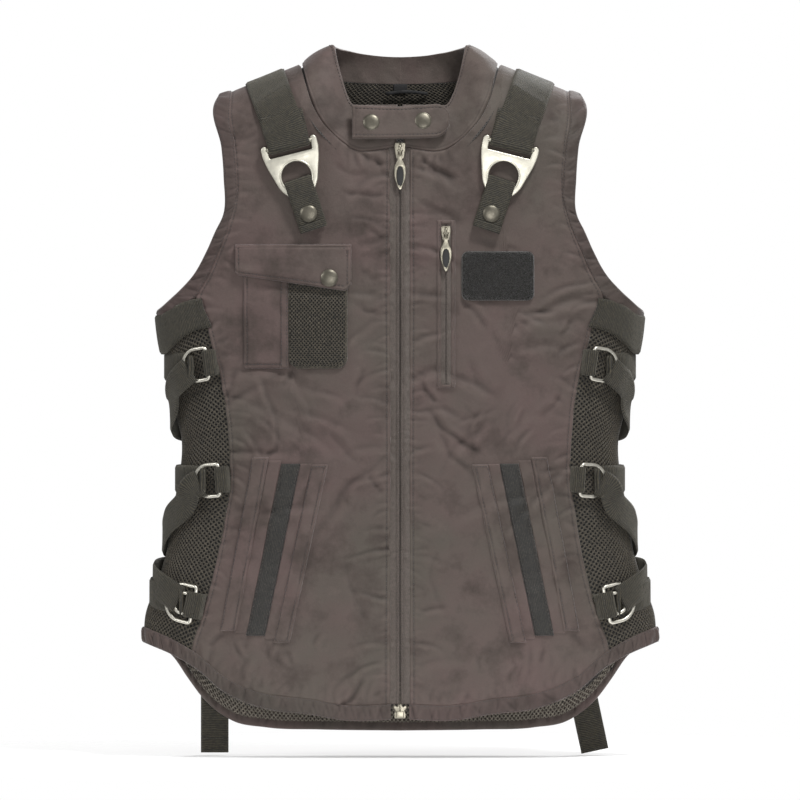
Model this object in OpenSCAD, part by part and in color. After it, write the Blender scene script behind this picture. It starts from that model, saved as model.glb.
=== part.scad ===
/* [Body] */
// Half width of the body under the arms
chest_half_w = 219; // [205:1:230]
// Half depth of the body at the chest
chest_half_d = 58; // [54:1:64]
// How much shallower the body is at the hem, each side
hem_pull_in = 12; // [6:1:14]
// Height of the shoulder seam at the neck
shoulder_z = 622; // [618:1:626]
// Depth of the shoulder's roundness, from the seam down
roll_r = 60; // [54:1:62]
// Squareness of the cross-section (2 is an ellipse)
square_n = 2.6; // [2.4:0.1:2.8]

/* [Cloth] */
// Thickness of the padded shell
shell_t = 3.6; // [3:0.1:4]
// Width of the armhole binding and the hem bands
band_w = 14; // [12:0.5:15]
// Thickness of the webbing
web_t = 1.8; // [1.4:0.1:1.9]
// Width of the lacing webbing
lace_w = 25; // [22:0.5:26]
// Width of the shoulder webbing
strap_w = 38; // [34:0.5:38]

/* [Metal] */
// Radius of a ring's wire
wire_r = 1.75; // [1.4:0.05:1.8]
// Radius of the hole in a shoulder buckle
buckle_hole_r = 13; // [12:0.5:13]
// Thickness of a shoulder buckle
buckle_t = 3; // [2.5:0.1:3.2]
// Radius of a snap cap
snap_r = 7.8; // [7:0.1:8]

/* [Hidden] */

// Colours
shell_c = [0.36, 0.33, 0.32];
mesh_c = [0.12, 0.12, 0.12];
web_c = [0.22, 0.21, 0.16];
black_c = [0.08, 0.08, 0.08];
silver_c = [0.75, 0.74, 0.69];
gun_c = [0.25, 0.24, 0.24];

// Outlines of one half, as [height, half width] or [half width, height]
side_line = [[20, 206], [101, 231.5], [125, 231.5], [155, 220], [180, 212], [220, 206], [249, 200],
    [285, 198], [307, 203], [336, 206], [362, 214], [399, chest_half_w]];
seam_line = [[30, 185], [104, 185], [112, 182], [143, 172], [180, 163], [215, 157], [240, 153],
    [279, 153], [304, 155], [342, 161], [367, 168], [384, 172], [412, 179], [432, 170],
    [455, 160], [474, 152], [490, 147], [519, 145], [545, 147], [580, 151], [600, 150]];
armhole_edge = [[163, 594], [167, 585], [160, 545], [158, 519], [159, 483], [165, 471], [173, 453],
    [186, 430], [197, 418], [208, 408], [215, 402], [218.4, 399.6], [218.99, 399]];
armhole_inner = [[151, 597], [152, 580], [148, 545], [146, 519], [148, 490], [153, 474], [161, 455],
    [171, 432], [181, 414], [193, 403], [204, 394], [212, 386], [215.9, 384]];
front_hem_line = [[0, 33], [50, 32], [80, 37], [120, 42], [144, 50], [162, 60], [179, 75],
    [200, 90], [230, 101]];
back_hem_line = [[0, 20], [73, 21], [121, 23], [153, 30], [179, 51], [193, 72], [206, 92], [230, 101]];
neck_line = [[0, 545], [47, 546], [60, 559], [70, 571], [79, 592], [88, 622]];
neck_half = 88;
neck_back_drop = 17;
collar_top_half = 61;
shoulder_slope = 0.4;
waist_z = 330;
zip_half = 9.5;
gap = 0.35;

// Driving places of the trims
strap_tilt = 18;
buckle_x = 92;
buckle_z = 519;
bar_up = 28;
buckle_lift = 5.2;
buckle_end_r = 21;
snap_down = 35;
tab_end = 50;
slider_z = 542;
chest_zip_x = 41;
chest_slider_z = 468;

function smooth(t) = let (c = max(0, min(1, t))) c * c * (3 - 2 * c);
function between(a, b, t) = a + (b - a) * t;
function unit(v) = v / norm(v);

// The body's outer surface. q runs over the shoulder: degrees of roll up to 90, then mm downwards,
// negative at the front and positive at the back.
function half_w(z) = lookup(z, side_line);
function half_d(z) = chest_half_d - hem_pull_in * smooth((waist_z - z) / 260);
function ridge_z(x) = shoulder_z - shoulder_slope * max(0, abs(x) - neck_half);
function full_d(x, z) = half_d(z)
    * pow(max(0, 1 - pow(abs(x) / half_w(z), square_n)), 1 / square_n);
function q_z(x, q) = ridge_z(x) - roll_r * (1 - cos(min(90, abs(q)))) - max(0, abs(q) - 90);
function z_q(x, z) = let (drop = max(0, ridge_z(x) - z))
    drop >= roll_r ? 90 + drop - roll_r : acos(1 - drop / roll_r);
function body(x, q) = let (z = q_z(x, q)) [x, sign(q) * sin(min(90, abs(q))) * full_d(x, z), z];
function body_n(x, q) = unit(cross(body(x + 0.4, q) - body(x - 0.4, q),
    body(x, q + 0.4) - body(x, q - 0.4)));
function skin_at(x, q, o) = body(x, q) + o * body_n(x, q);
// The shoulder line falls outwards: q at x that keeps the height q has at x0, away from the roll
function level_q(x0, x, q) = q - sign(q) * (ridge_z(x0) - ridge_z(x)) * smooth((abs(q) - 90) / 160);
function front(x, z, o) = skin_at(x, -z_q(x, z), o);
function back(x, z, o) = skin_at(x, z_q(x, z), o);

// The same surface by an angle round the side: -90 is the front's middle, 0 the side, 90 the back's.
function side_x(t, z) = half_w(z) * pow(cos(t), 2 / square_n);
function side(s, t, z, o) = let (
        x = side_x(t, z),
        y = sign(t) * half_d(z) * pow(abs(sin(t)), 2 / square_n),
        n = unit([pow(x / half_w(z), square_n - 1) / half_w(z),
            sign(t) * pow(abs(y) / half_d(z), square_n - 1) / half_d(z), 0]))
    [s * (x + o * n[0]), y + o * n[1], z];
function side_t(x, z) = acos(pow(min(1, x / half_w(z)), square_n / 2));
function front_hem(x) = lookup(abs(x), front_hem_line);
function back_hem(x) = lookup(abs(x), back_hem_line);
function seam_x(z) = lookup(z, seam_line);

// A closed sheet between an outer and an inner grid of points
module sheet(a, b, loop = false) {
    r = len(a);
    c = len(a[0]);
    n = r * c;
    last = loop ? r - 1 : r - 2;
    m = floor((c - 1) / 2);
    good = cross(a[0][m + 1] - a[0][m], a[1][m] - a[0][m]) * (a[0][m] - b[0][m]) > 0;
    faces = concat(
        [for (i = [0 : last], j = [0 : c - 2]) let (p = i * c + j, q = ((i + 1) % r) * c + j)
            each [[p, p + 1, q + 1], [p, q + 1, q], [n + p, n + q + 1, n + p + 1],
                [n + p, n + q, n + q + 1]]],
        [for (i = [0 : last]) let (p = i * c, q = ((i + 1) % r) * c, e = c - 1)
            each [[p, q, n + q], [p, n + q, n + p], [p + e, n + q + e, q + e],
                [p + e, n + p + e, n + q + e]]],
        loop ? [] : [for (j = [0 : c - 2]) let (k = (r - 1) * c + j)
            each [[j + 1, j, n + j], [j + 1, n + j, n + j + 1], [k, k + 1, n + k + 1],
                [k, n + k + 1, n + k]]]);
    polyhedron([for (row = a) each row, for (row = b) each row],
        good ? [for (f = faces) [f[2], f[1], f[0]]] : faces);
}

// A sheet over a surface function f(u, v, o), between the offsets lo and hi
module skin(nu, nv, lo, hi, f, loop = false) {
    top = loop ? nu - 1 : nu;
    sheet([for (i = [0 : top]) [for (j = [0 : nv]) f(i / nu, j / nv, hi)]],
        [for (i = [0 : top]) [for (j = [0 : nv]) f(i / nu, j / nv, lo)]], loop);
}

// Puts children on the front, x to the right, y up and z outwards, turned by tilt
module on_front(x, z, lift = 0, tilt = 0) {
    n = body_n(x, -z_q(x, z));
    rx = [-n[1], n[0], 0] / norm([n[0], n[1]]);
    up = cross(n, rx);
    p = front(x, z, lift);
    multmatrix([[rx[0], up[0], n[0], p[0]], [rx[1], up[1], n[1], p[1]], [rx[2], up[2], n[2], p[2]]])
        rotate([0, 0, tilt]) children();
}

module both(s) {
    if (s > 0) children();
    else mirror([1, 0, 0]) children();
}

// Shell
module front_sheet(nu, nv, lo, hi, inset) {
    skin(nu, nv, lo, hi, function(u, v, o) let (
        x0 = between(zip_half, 150, v),
        zb = front_hem(between(zip_half, 185, v)) + band_w + 1 + inset,
        zt = x0 < neck_half ? lookup(x0, neck_line) - inset : ridge_z(x0),
        q = between(-z_q(x0, zb), min(-0.4, -z_q(x0, zt)), u),
        x = between(zip_half + inset, seam_x(q_z(x0, q)) - 0.5 - inset, v))
        skin_at(x, level_q(x0, x, q), o));
}

module back_sheet(nu, nv, lo, hi, inset) {
    skin(nu, nv, lo, hi, function(u, v, o) let (
        w = 2 * v - 1,
        x0 = 150 * w,
        zb = back_hem(185 * w) + band_w + 1 + inset,
        nx = abs(x0) / neck_half,
        zt = nx < 1 ? shoulder_z - neck_back_drop * sqrt(1 - nx * nx) - inset : ridge_z(x0),
        q = between(z_q(x0, zb), max(0.4, z_q(x0, zt)), u),
        x = w * (seam_x(q_z(x0, q)) - 0.5 - inset))
        skin_at(x, level_q(x0, x, q), o));
}

module back_panel() color(shell_c) back_sheet(18, 14, -shell_t, 0, 0);
module back_lining() color(mesh_c) back_sheet(12, 8, -shell_t - 2.4, -shell_t - 1.4, 4);
module front_panel(s) color(shell_c) both(s) front_sheet(20, 8, -shell_t, 0, 0);
module front_lining(s) color(mesh_c) both(s) front_sheet(12, 5, -shell_t - 2.4, -shell_t - 1.4, 4);

module side_mesh(s) color(mesh_c) skin(10, 12, -shell_t, -1.4, function(u, v, o) let (
        k = 1 - abs(2 * v - 1),
        z = between(106 + 13 * k, 410 - 27 * k, u),
        tf = side_t(seam_x(z) + 1.2, z))
    side(s, between(-tf, tf, v), z, o));

// Point k of the armhole's outline, going round from the shoulder, with w from inner to outer edge
function armhole(k, w, o) = let (
        n = len(armhole_edge) - 1,
        f = k <= n ? -1 : 1,
        i = k <= n ? k : 2 * n + 1 - k,
        p = between(armhole_inner[i], armhole_edge[i], w),
        t = side_t(p[0], p[1]),
        y0 = full_d(p[0], p[1]) * sin(min(90, z_q(p[0], min(p[1], ridge_z(p[0]) - 0.1)))),
        nrm = unit([pow(p[0] / half_w(p[1]), square_n - 1) / half_w(p[1]) * chest_half_d,
            f * pow(max(0.02, y0 / chest_half_d), square_n - 1),
            i < 2 ? 1 : 0]))
    [p[0] + o * nrm[0], f * max(y0, i > 10 ? 2.5 : 1.2) + o * nrm[1], p[1] + o * nrm[2]];

module armhole_binding(s) color(shell_c) both(s) {
    count = 2 * len(armhole_edge);
    grid = [for (o = [0.6, -shell_t]) [for (k = [0 : count - 1])
        [for (w = [0.03, 0.5, 1]) armhole(k, w, o * (w == 0.5 ? 1.1 : 0.7))]]];
    sheet(grid[0], grid[1], true);
}

// A band along a hem, from x0 to the side corner
module hem_band(n, x0, x1, sgn, line) skin(n, 2, -shell_t, 0.3, function(u, v, o) let (
        x = between(x0, x1, u),
        side_end = half_w(lookup(abs(x), line)) - 0.6,
        xx = sign(x) * min(abs(x), side_end),
        z = lookup(abs(x), line) + between(0, band_w, v),
        y = full_d(min(abs(xx), half_w(z) - 0.6), z),
        nrm = unit([sign(x) * pow(abs(xx) / half_w(z), square_n - 1) / half_w(z) * half_d(z),
            sgn * pow(max(0.05, y / half_d(z)), square_n - 1), 0]))
    [xx + o * nrm[0], sgn * max(4.4, y) + o * nrm[1], z]);

module front_hem_band(s) color(shell_c) both(s) hem_band(14, zip_half, 231, -1, front_hem_line);
module back_hem_band() color(shell_c) hem_band(26, -231, 231, 1, back_hem_line);

// Collar: th runs round the neck from the front's middle to the back's, v up the band
function collar_base(th) = let (x = neck_half * sin(th))
    th < 90 ? front(x, min(lookup(x, neck_line), ridge_z(x) - 0.01), -1.2) + [0, 0, 2.2]
    : back(x, shoulder_z - neck_back_drop * sqrt(max(0, 1 - pow(sin(th), 2))), -1.2) + [0, 0, 2.2];
function collar_top(th) = [collar_top_half * sin(th),
    -(th < 90 ? 50 : 38) * cos(th),
    584 + 55 * smooth((th - 40) / 38) - 10 * smooth((th - 90) / 90)];
function collar(s, th, v, o) = let (
        a = collar_base(th), b = collar_top(th),
        da = collar_base(min(179.9, th + 1)) - collar_base(th - 1),
        n = unit(cross(b - a, da)),
        m = n * [sin(th), -cos(th), 0] > 0 ? n : -n,
        p = between(a, b, v) + o * m)
    [s * p[0], p[1], p[2]];
collar_split = 27;
collar_t = 3.4;
collar_zip = 3;

module collar_front(s) color(shell_c) skin(6, 3, -collar_t, 0,
    function(u, v, o) collar(s, between(collar_zip, collar_split, u), v, o));
module collar_back() color(shell_c) skin(40, 3, -collar_t, 0, function(u, v, o)
    let (th = between(collar_split + 2, 358 - collar_split, u))
    th <= 180 ? collar(1, min(th, 179.9), v, o) : collar(-1, min(360 - th, 179.9), v, o));
module neck_label() color(black_c) translate([-11, 34.2, 600]) rotate([-6, 0, 0]) cube([22, 0.8, 13]);
module hanger_loop() color(black_c) translate([0, 31.6, 596]) rotate([90, 0, 0]) difference() {
    translate([-32, -3, 0]) cube([64, 6, 1.2]);
    translate([-20, -1.4, -1]) cube([40, 2.8, 4]);
}

// Collar tab and snaps
module cap(r) {
    cylinder(h = 1.1, r = r, $fn = 48);
    translate([0, 0, 1.1]) difference() {
        cylinder(h = 1.3, r1 = r - 0.4, r2 = r - 2, $fn = 48);
        translate([0, 0, 0.9]) cylinder(h = 1, r = r - 3.4, $fn = 48);
    }
}
module stud() cylinder(h = 1, r = 4.6, $fn = 32);

tab_z = 567;
tab_y = -58.2;
tab_lean = 11;
snap_xs = [-25.5, 20.4];
module on_collar(x, dz, lift) translate([x, tab_y - lift, tab_z + dz]) rotate([90 - tab_lean, 0, 0])
    children();
module collar_tab() color(shell_c) on_collar(0, 0, 1.6) {
    translate([-43, -15, 0]) cube([73, 30, 2.2]);
    translate([30, 0, 0]) intersection() {
        cylinder(h = 2.2, r = 15, $fn = 48);
        translate([0, -15, 0]) cube([15, 30, 2.2]);
    }
}
module collar_tab_snaps() color(gun_c) for (x = snap_xs) on_collar(x, 0, 4) cap(snap_r);
module collar_stud() color(gun_c) on_collar(snap_xs[1], 0, 0.5) cylinder(h = 0.8, r = 4.6, $fn = 32);

// Main zip
module zip_tape(s) color(black_c) both(s) {
    skin(20, 1, -3.4, -2.4, function(u, v, o)
        front(between(1.4, zip_half - 0.4, v), between(48, 544, u), o));
    skin(20, 1, -1.9, -0.6, function(u, v, o)
        front(between(1, 2.8, v), between(48, 544, u), o - 2.6));
}
module zip_retainer() color(silver_c) {
    on_front(0, 40, -3.6) translate([-6.5, -6, 0]) cube([8, 12, 4.6]);
    on_front(0, 40, -3.6) translate([1.9, -6, 0.6]) cube([2.6, 13, 3.2]);
}

// A zip slider, two plates, a post and a bridge, with its opening along y
module slider(w, h, deep) {
    for (z = [0.4, -deep]) translate([-w / 2, -h / 2, z]) cube([w, h, 1.1]);
    translate([-0.7, h / 2 - 2.6, 0.6 - deep]) cube([1.4, 2.6, deep]);
    for (y = [-h / 2 + 1.5, h / 2 - 3.5]) translate([-1, y, 1.4]) cube([2, 2, 2.6]);
    translate([-1, -h / 2 + 1.5, 3.8]) cube([2, h - 3, 1]);
}
// The pull hangs from a pin under the bridge: two arms, then an oval ring
module pull(len, w) {
    translate([-2.6, 0, 2.65]) rotate([0, 90, 0]) cylinder(h = 5.2, r = 0.6, $fn = 24);
    for (x = [-2.6, 1.4]) translate([x, -10, 2.1]) cube([1.2, 10.4, 1.2]);
    translate([0, -9 - len / 2, 2.1]) difference() {
        oval(len, w, 2);
        translate([0, 0, -1]) oval(len - 5, w - 5, 4);
    }
}
module oval(len, w, h) linear_extrude(h) union() {
    for (y = [-1, 1]) translate([0, y * (len - w) / 2]) circle(r = w / 2, $fn = 40);
    square([w, len - w], center = true);
}
module main_slider() color(silver_c) on_front(0, slider_z, 0) slider(9, 14, 5.6);
module main_pull() color(silver_c) on_front(0, slider_z, 0) pull(26, 10.5);

// Chest pocket at the wearer's right
pocket_top = 452;
pocket_low = 347;
function px(v) = between(-140, -48, v);
module chest_pocket() color(shell_c) {
    skin(6, 3, gap, 2.6, function(u, v, o)
        front(between(-140, -103, v), between(pocket_low, pocket_top, u), o));
    skin(6, 3, gap, 1.2, function(u, v, o)
        front(between(-102.6, -48, v), between(pocket_low, pocket_top, u), o));
}
module pocket_window() color(mesh_c) skin(5, 3, 1.5, 2.6, function(u, v, o)
    front(between(-100, -49, v), between(348, 436, u), o));
flap_left_low = 431;
flap_right_low = 416;
module pocket_flap() color(shell_c) skin(4, 7, 4.2, 6.4, function(u, v, o) let (
        low = between(flap_left_low, flap_right_low, v) + (v > 0.9 ? 6 : 0))
    front(between(-147, -44, v), between(low, 454, u), o));
module flap_snap() color(gun_c) on_front(-63, 428, 6.6) cap(snap_r);
module snap_studs() color(gun_c) {
    on_front(-63, 428, 2.9) stud();
    for (s = [-1, 1]) both(s) buckle_frame() translate([0, -snap_down, -buckle_lift + 0.2]) stud();
}

// Chest zip pocket at the wearer's left
module chest_zip_tape() color(black_c) {
    for (s = [-1, 1]) skin(8, 1, gap, 1.3, function(u, v, o)
        front(chest_zip_x + s * between(0.9, 7.6, v), between(330, 474.5, u), o));
}
module chest_slider() color(silver_c) on_front(chest_zip_x, chest_slider_z, 1.6) {
    translate([-4, -6, 0.1]) cube([8, 12, 1.4]);
    for (y = [-4.5, 2.5]) translate([-1, y, 1.4]) cube([2, 2, 2.6]);
    translate([-1, -4.5, 3.8]) cube([2, 9, 1]);
}
module chest_pull() color(silver_c) on_front(chest_zip_x, chest_slider_z, 1.6) pull(25, 10.5);

patch_w = 65;
patch_h = 44;
module loop_patch() color(black_c) on_front(87.5, 430, 1.6) linear_extrude(2) union() {
    square([patch_w - 12, patch_h], center = true);
    square([patch_w, patch_h - 12], center = true);
    for (x = [-1, 1], y = [-1, 1])
        translate([x * (patch_w / 2 - 6), y * (patch_h / 2 - 6)]) circle(r = 6, $fn = 32);
}

// Hand pockets: two raised welts with a ribbed elastic gusset between them
module slanted(s, top, low, w, hi, n) both(s) skin(n, 2, gap, hi, function(u, v, o) let (
        x = between(low[0], top[0], u) + between(-w / 2, w / 2, v),
        z = between(low[1], top[1], u))
    front(x, z, v == 0.5 ? o : max(gap, 0.75 * o)));
module hand_pocket(s) color(shell_c) {
    slanted(s, [124, 268], [152, 114], 14, 5, 8);
    slanted(s, [72, 262], [106, 103], 14, 5, 8);
}
module pocket_gusset(s) color(black_c) slanted(s, [97.5, 262], [129, 109], 17, 2.4, 8);

// Shoulder straps, buckles and tabs
module buckle_frame() on_front(buckle_x, buckle_z, buckle_lift, -strap_tilt) children();
strap_dx = tan(strap_tilt);
bar_x = buckle_x + bar_up * sin(strap_tilt);
bar_z = buckle_z + bar_up * cos(strap_tilt);
strap_back_end = 195;
module shoulder_strap(s) color(web_c) both(s) {
    q0 = -z_q(bar_x, bar_z) + 5;
    skin(22, 2, gap, gap + web_t, function(u, v, o) let (
            q = between(q0, strap_back_end, u),
            ridge_x = bar_x + strap_dx * (ridge_z(120) - bar_z),
            x = ridge_x - strap_dx * (ridge_z(ridge_x) - q_z(ridge_x, q)) * (q < 0 ? 1 : 0.7),
            w = (v - 0.5) * strap_w)
        skin_at(x + w * cos(strap_tilt) , q + w * sin(strap_tilt) * (q < 0 ? -0.95 : 0.6), o));
    buckle_frame() translate([-strap_w / 2, bar_up, 0]) rotate([0, 90, 0]) difference() {
        cylinder(h = strap_w, r = 4.2, $fn = 48);
        translate([0, 0, -1]) cylinder(h = strap_w + 2, r = 2.4, $fn = 48);
    }
}
// Cast buckle: a bar for the strap, a plate that narrows to a ring, a round hole
module buckle(s) color(silver_c) both(s) buckle_frame() {
    translate([-25, bar_up, 0]) rotate([0, 90, 0]) cylinder(h = 50, r = 2.1, $fn = 32);
    translate([0, 0, -buckle_t / 2]) linear_extrude(buckle_t) difference() {
        polygon([[-25, bar_up + 2.1], [-25, bar_up - 14], [-22, bar_up - 17], [-14, -13],
            [-8, -buckle_end_r], [8, -buckle_end_r], [14, -13], [22, bar_up - 17],
            [25, bar_up - 14], [25, bar_up + 2.1]]);
        circle(r = buckle_hole_r, $fn = 64);
        translate([0, bar_up - 1.6]) square([strap_w + 1.6, 12], center = true);
    }
}
module buckle_tab(s) color(web_c) both(s) buckle_frame() {
    front_z = buckle_t / 2 + 0.4;
    translate([-lace_w / 2, -tab_end, front_z - 2.6]) cube([lace_w, tab_end - buckle_end_r - 1, web_t]);
    translate([-lace_w / 2, -tab_end, front_z - 0.8]) cube([lace_w, tab_end - buckle_end_r - 1, 0.8]);
    translate([-lace_w / 2, -buckle_end_r - 1, front_z - 0.8]) cube([lace_w, 0.8, 0.8]);
    translate([-lace_w / 2 + 1.5, -buckle_end_r - 1.2, front_z - 0.05])
        cube([lace_w - 3, buckle_end_r - 5, web_t]);
}
module tab_snap(s) color(gun_c) both(s) buckle_frame()
    translate([0, -snap_down, buckle_t / 2 + 0.5]) cap(snap_r);

// Side lacing
function round_side(s, z0, z1, t0, t1, w, u, v, o) = let (
        t = between(t0, t1, u),
        z = between(z0, z1, u) + (v - 0.5) * w)
    side(s, t, z, o);
module side_strap(s) color(web_c) skin(2, 14, gap, gap + web_t, function(u, v, o) let (
        z = between(376, 400, u) - 14 * smooth(1 - abs(2 * v - 1)),
        tf = side_t(seam_x(z) + 3, z))
    side(s, between(-tf, tf, v), z, o));

// Each ring: x and z of its bar's middle, tilt, height between the middles of its legs
rings = [[171, 352, -8, 28.5], [160.5, 247.5, -4, 28.5], [184, 135, 12, 33]];
ring_lift = 5;
ring_leg = 11;
module ring_frame(s, r) both(s) {
    t = -side_t(r[0], r[1]);
    p = side(1, t, r[1], ring_lift);
    n = unit(side(1, t, r[1], 1) - side(1, t, r[1], 0));
    rx = [-n[1], n[0], 0];
    multmatrix([[rx[0], 0, n[0], p[0]], [rx[1], 0, n[1], p[1]], [0, 1, 0, p[2]]])
        rotate([0, 0, r[2]]) children();
}
bend_r = 3;
// A bent-wire ring: straight bar, two small bends, two legs and a half-round end
module wire_ring(h, leg) {
    flat = h / 2 - bend_r;
    rotate([90, 0, 0]) cylinder(h = 2 * flat, r = wire_r, center = true, $fn = 24);
    for (s = [-1, 1]) {
        translate([bend_r, s * flat, 0]) rotate([0, 0, s > 0 ? 90 : 180])
            rotate_extrude(angle = 90, $fn = 48) translate([bend_r, 0]) circle(r = wire_r, $fn = 24);
        translate([bend_r, s * h / 2, 0]) rotate([0, 90, 0])
            cylinder(h = leg - bend_r, r = wire_r, $fn = 24);
    }
    translate([leg, 0, 0]) rotate([0, 0, -90]) rotate_extrude(angle = 180, $fn = 48)
        translate([h / 2, 0]) circle(r = wire_r, $fn = 24);
}
loose_x = 4.4;
loose_h = 18.2;
// A webbing tab sewn at the seam and folded round the bars of one or two rings
module ring_tab(n) {
    reach = (n - 1) * loose_x;
    w = n == 1 ? lace_w - 3 : loose_h - 5.4;
    rotate([90, 0, 0]) linear_extrude(w, center = true) difference() {
        union() {
            translate([reach, 0]) circle(r = 3.6, $fn = 32);
            translate([-4, -3.6]) square([4 + reach, 7.2]);
            translate([-4, 0]) circle(r = 3.6, $fn = 32);
        }
        translate([reach, 0]) circle(r = 2, $fn = 32);
        translate([-4, -2]) square([4 + reach, 4]);
        translate([-4, 0]) circle(r = 2, $fn = 32);
    }
    translate([-14, -lace_w / 2 + 1, -4]) cube([6.8, lace_w - 2, 3]);
}
module ring_tabs(s) color(web_c) for (i = [0 : 2]) ring_frame(s, rings[i]) ring_tab(i == 2 ? 2 : 1);
module laced_rings(s) color(silver_c) for (r = rings) ring_frame(s, r) wire_ring(r[3], ring_leg);
module loose_ring(s) color(silver_c)
    ring_frame(s, rings[2]) translate([loose_x, 0, 0]) wire_ring(loose_h, 6);

// Lacing webbing: level runs from the back to each ring, slanted runs back down, and a low band
module lacing(s) color(web_c) {
    for (z = [349, 248]) skin(10, 2, gap, gap + web_t, function(u, v, o)
        round_side(s, z, z, -side_t(186, z), 34, lace_w - 3, u, v, o));
    for (k = [[342, 296], [228, 190]])
        skin(8, 2, 2.4 + gap, 2.4 + gap + web_t, function(u, v, o)
            round_side(s, k[0], k[1], -side_t(193, k[0]), 40, lace_w, u, v, o));
    skin(10, 2, gap, gap + web_t, function(u, v, o)
        round_side(s, 141, 146, -side_t(206, 141), 40, 34, u, v, o));
}

// Tails of the lacing, below the back hem
tail_x = [-167.5, 163];
tail_top = 64;
tail_tilt = [0, -12];
module tail(i) color(web_c) {
    y = full_d(tail_x[i], tail_top) + 2.4;
    translate([tail_x[i], y, tail_top]) rotate([0, tail_tilt[i], 0]) {
        translate([-lace_w / 2, 0, -tail_top - 0.4]) cube([lace_w, web_t, tail_top]);
        translate([-lace_w / 2, web_t, -tail_top - 0.4]) cube([lace_w, web_t, 14]);
    }
}

back_panel();
back_lining();
front_panel(1);  // front_panel_left
front_panel(-1);  // front_panel_right
front_lining(1);  // front_lining_left
front_lining(-1);  // front_lining_right
side_mesh(1);  // side_mesh_left
side_mesh(-1);  // side_mesh_right
armhole_binding(1);  // armhole_binding_left
armhole_binding(-1);  // armhole_binding_right
front_hem_band(1);  // front_hem_left
front_hem_band(-1);  // front_hem_right
back_hem_band();  // back_hem
collar_back();
collar_front(1);  // collar_front_left
collar_front(-1);  // collar_front_right
neck_label();
hanger_loop();
collar_tab();
collar_tab_snaps();
collar_stud();
zip_tape(1);  // zip_tape_left
zip_tape(-1);  // zip_tape_right
zip_retainer();
main_slider();
main_pull();
chest_pocket();
pocket_window();
pocket_flap();
flap_snap();
snap_studs();
chest_zip_tape();
chest_slider();
chest_pull();
loop_patch();
hand_pocket(1);  // hand_pocket_left
hand_pocket(-1);  // hand_pocket_right
pocket_gusset(1);  // pocket_gusset_left
pocket_gusset(-1);  // pocket_gusset_right
shoulder_strap(1);  // shoulder_strap_left
shoulder_strap(-1);  // shoulder_strap_right
buckle(1);  // buckle_left
buckle(-1);  // buckle_right
buckle_tab(1);  // buckle_tab_left
buckle_tab(-1);  // buckle_tab_right
tab_snap(1);  // tab_snap_left
tab_snap(-1);  // tab_snap_right
side_strap(1);  // side_strap_left
side_strap(-1);  // side_strap_right
ring_tabs(1);  // ring_tabs_left
ring_tabs(-1);  // ring_tabs_right
laced_rings(1);  // laced_rings_left
laced_rings(-1);  // laced_rings_right
loose_ring(1);  // loose_ring_left
loose_ring(-1);  // loose_ring_right
lacing(1);  // lacing_left
lacing(-1);  // lacing_right
tail(1);  // tail_left
tail(0);  // tail_right
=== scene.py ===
import math

import bmesh
import bpy
import numpy as np
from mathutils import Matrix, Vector


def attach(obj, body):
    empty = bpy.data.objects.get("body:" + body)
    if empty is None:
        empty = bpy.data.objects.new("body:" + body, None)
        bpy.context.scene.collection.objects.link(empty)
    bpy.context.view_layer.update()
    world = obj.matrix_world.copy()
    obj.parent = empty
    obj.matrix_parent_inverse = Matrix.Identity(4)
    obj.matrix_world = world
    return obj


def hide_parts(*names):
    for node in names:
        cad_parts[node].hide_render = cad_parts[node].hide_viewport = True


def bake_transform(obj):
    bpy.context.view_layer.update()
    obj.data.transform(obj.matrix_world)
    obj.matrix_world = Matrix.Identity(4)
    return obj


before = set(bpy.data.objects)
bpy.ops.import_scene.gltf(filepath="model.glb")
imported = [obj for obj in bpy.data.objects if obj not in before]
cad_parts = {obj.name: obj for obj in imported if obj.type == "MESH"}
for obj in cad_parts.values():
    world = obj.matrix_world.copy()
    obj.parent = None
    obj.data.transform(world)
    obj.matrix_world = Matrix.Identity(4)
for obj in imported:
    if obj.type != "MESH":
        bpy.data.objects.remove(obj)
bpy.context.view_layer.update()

# ---------------------------------------------------------------- driving sizes, in millimetres
MM = 0.001
SHELL_T = 3.6          # padded shell
BAND_W = 14.0          # armhole binding and hem bands
WEB_T = 1.8            # webbing thickness
LACE_W = 25.0          # lacing webbing
STRAP_W = 38.0         # shoulder webbing
STRAP_LEAN = math.radians(18)   # of the shoulder webbing, seen from the front
SNAP_R = 7.8           # snap caps
HEM_HALF = 231.0       # the hem bands end here, at the side
ZIP_HALF = 9.5         # half width of the visible zip tape
NECK_HALF = 88.0
NECK_DROP = 17.0       # the back neckline hangs this far below the shoulder
SHOULDER_Z = 622.0
SLOPE = 0.4            # fall of the shoulder line
ROLL_R = 60.0          # roundness of the shoulder
SQUARE = 2.6           # squareness of the cross-section
CHEST_D, PULL_IN, WAIST_Z = 58.0, 12.0, 330.0
LEFT, RIGHT = 1, -1    # the wearer's sides: left is +X
rng = np.random.default_rng(11)


def outline(points):
    """A smooth curve y(x) through a few points (cubic, with slopes from the neighbours)."""
    xs, ys = np.array(points, float).T
    slopes = np.gradient(ys, xs)

    def at(x):
        x = np.clip(np.asarray(x, float), xs[0], xs[-1])
        i = np.clip(np.searchsorted(xs, x, side="right") - 1, 0, len(xs) - 2)
        h = xs[i + 1] - xs[i]
        t = (x - xs[i]) / h
        a, b = ys[i], ys[i + 1]
        ma, mb = slopes[i] * h, slopes[i + 1] * h
        return (a * (1 + 2 * t) * (1 - t) ** 2 + ma * t * (1 - t) ** 2
                + b * t * t * (3 - 2 * t) + mb * t * t * (t - 1))
    return at


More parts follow.
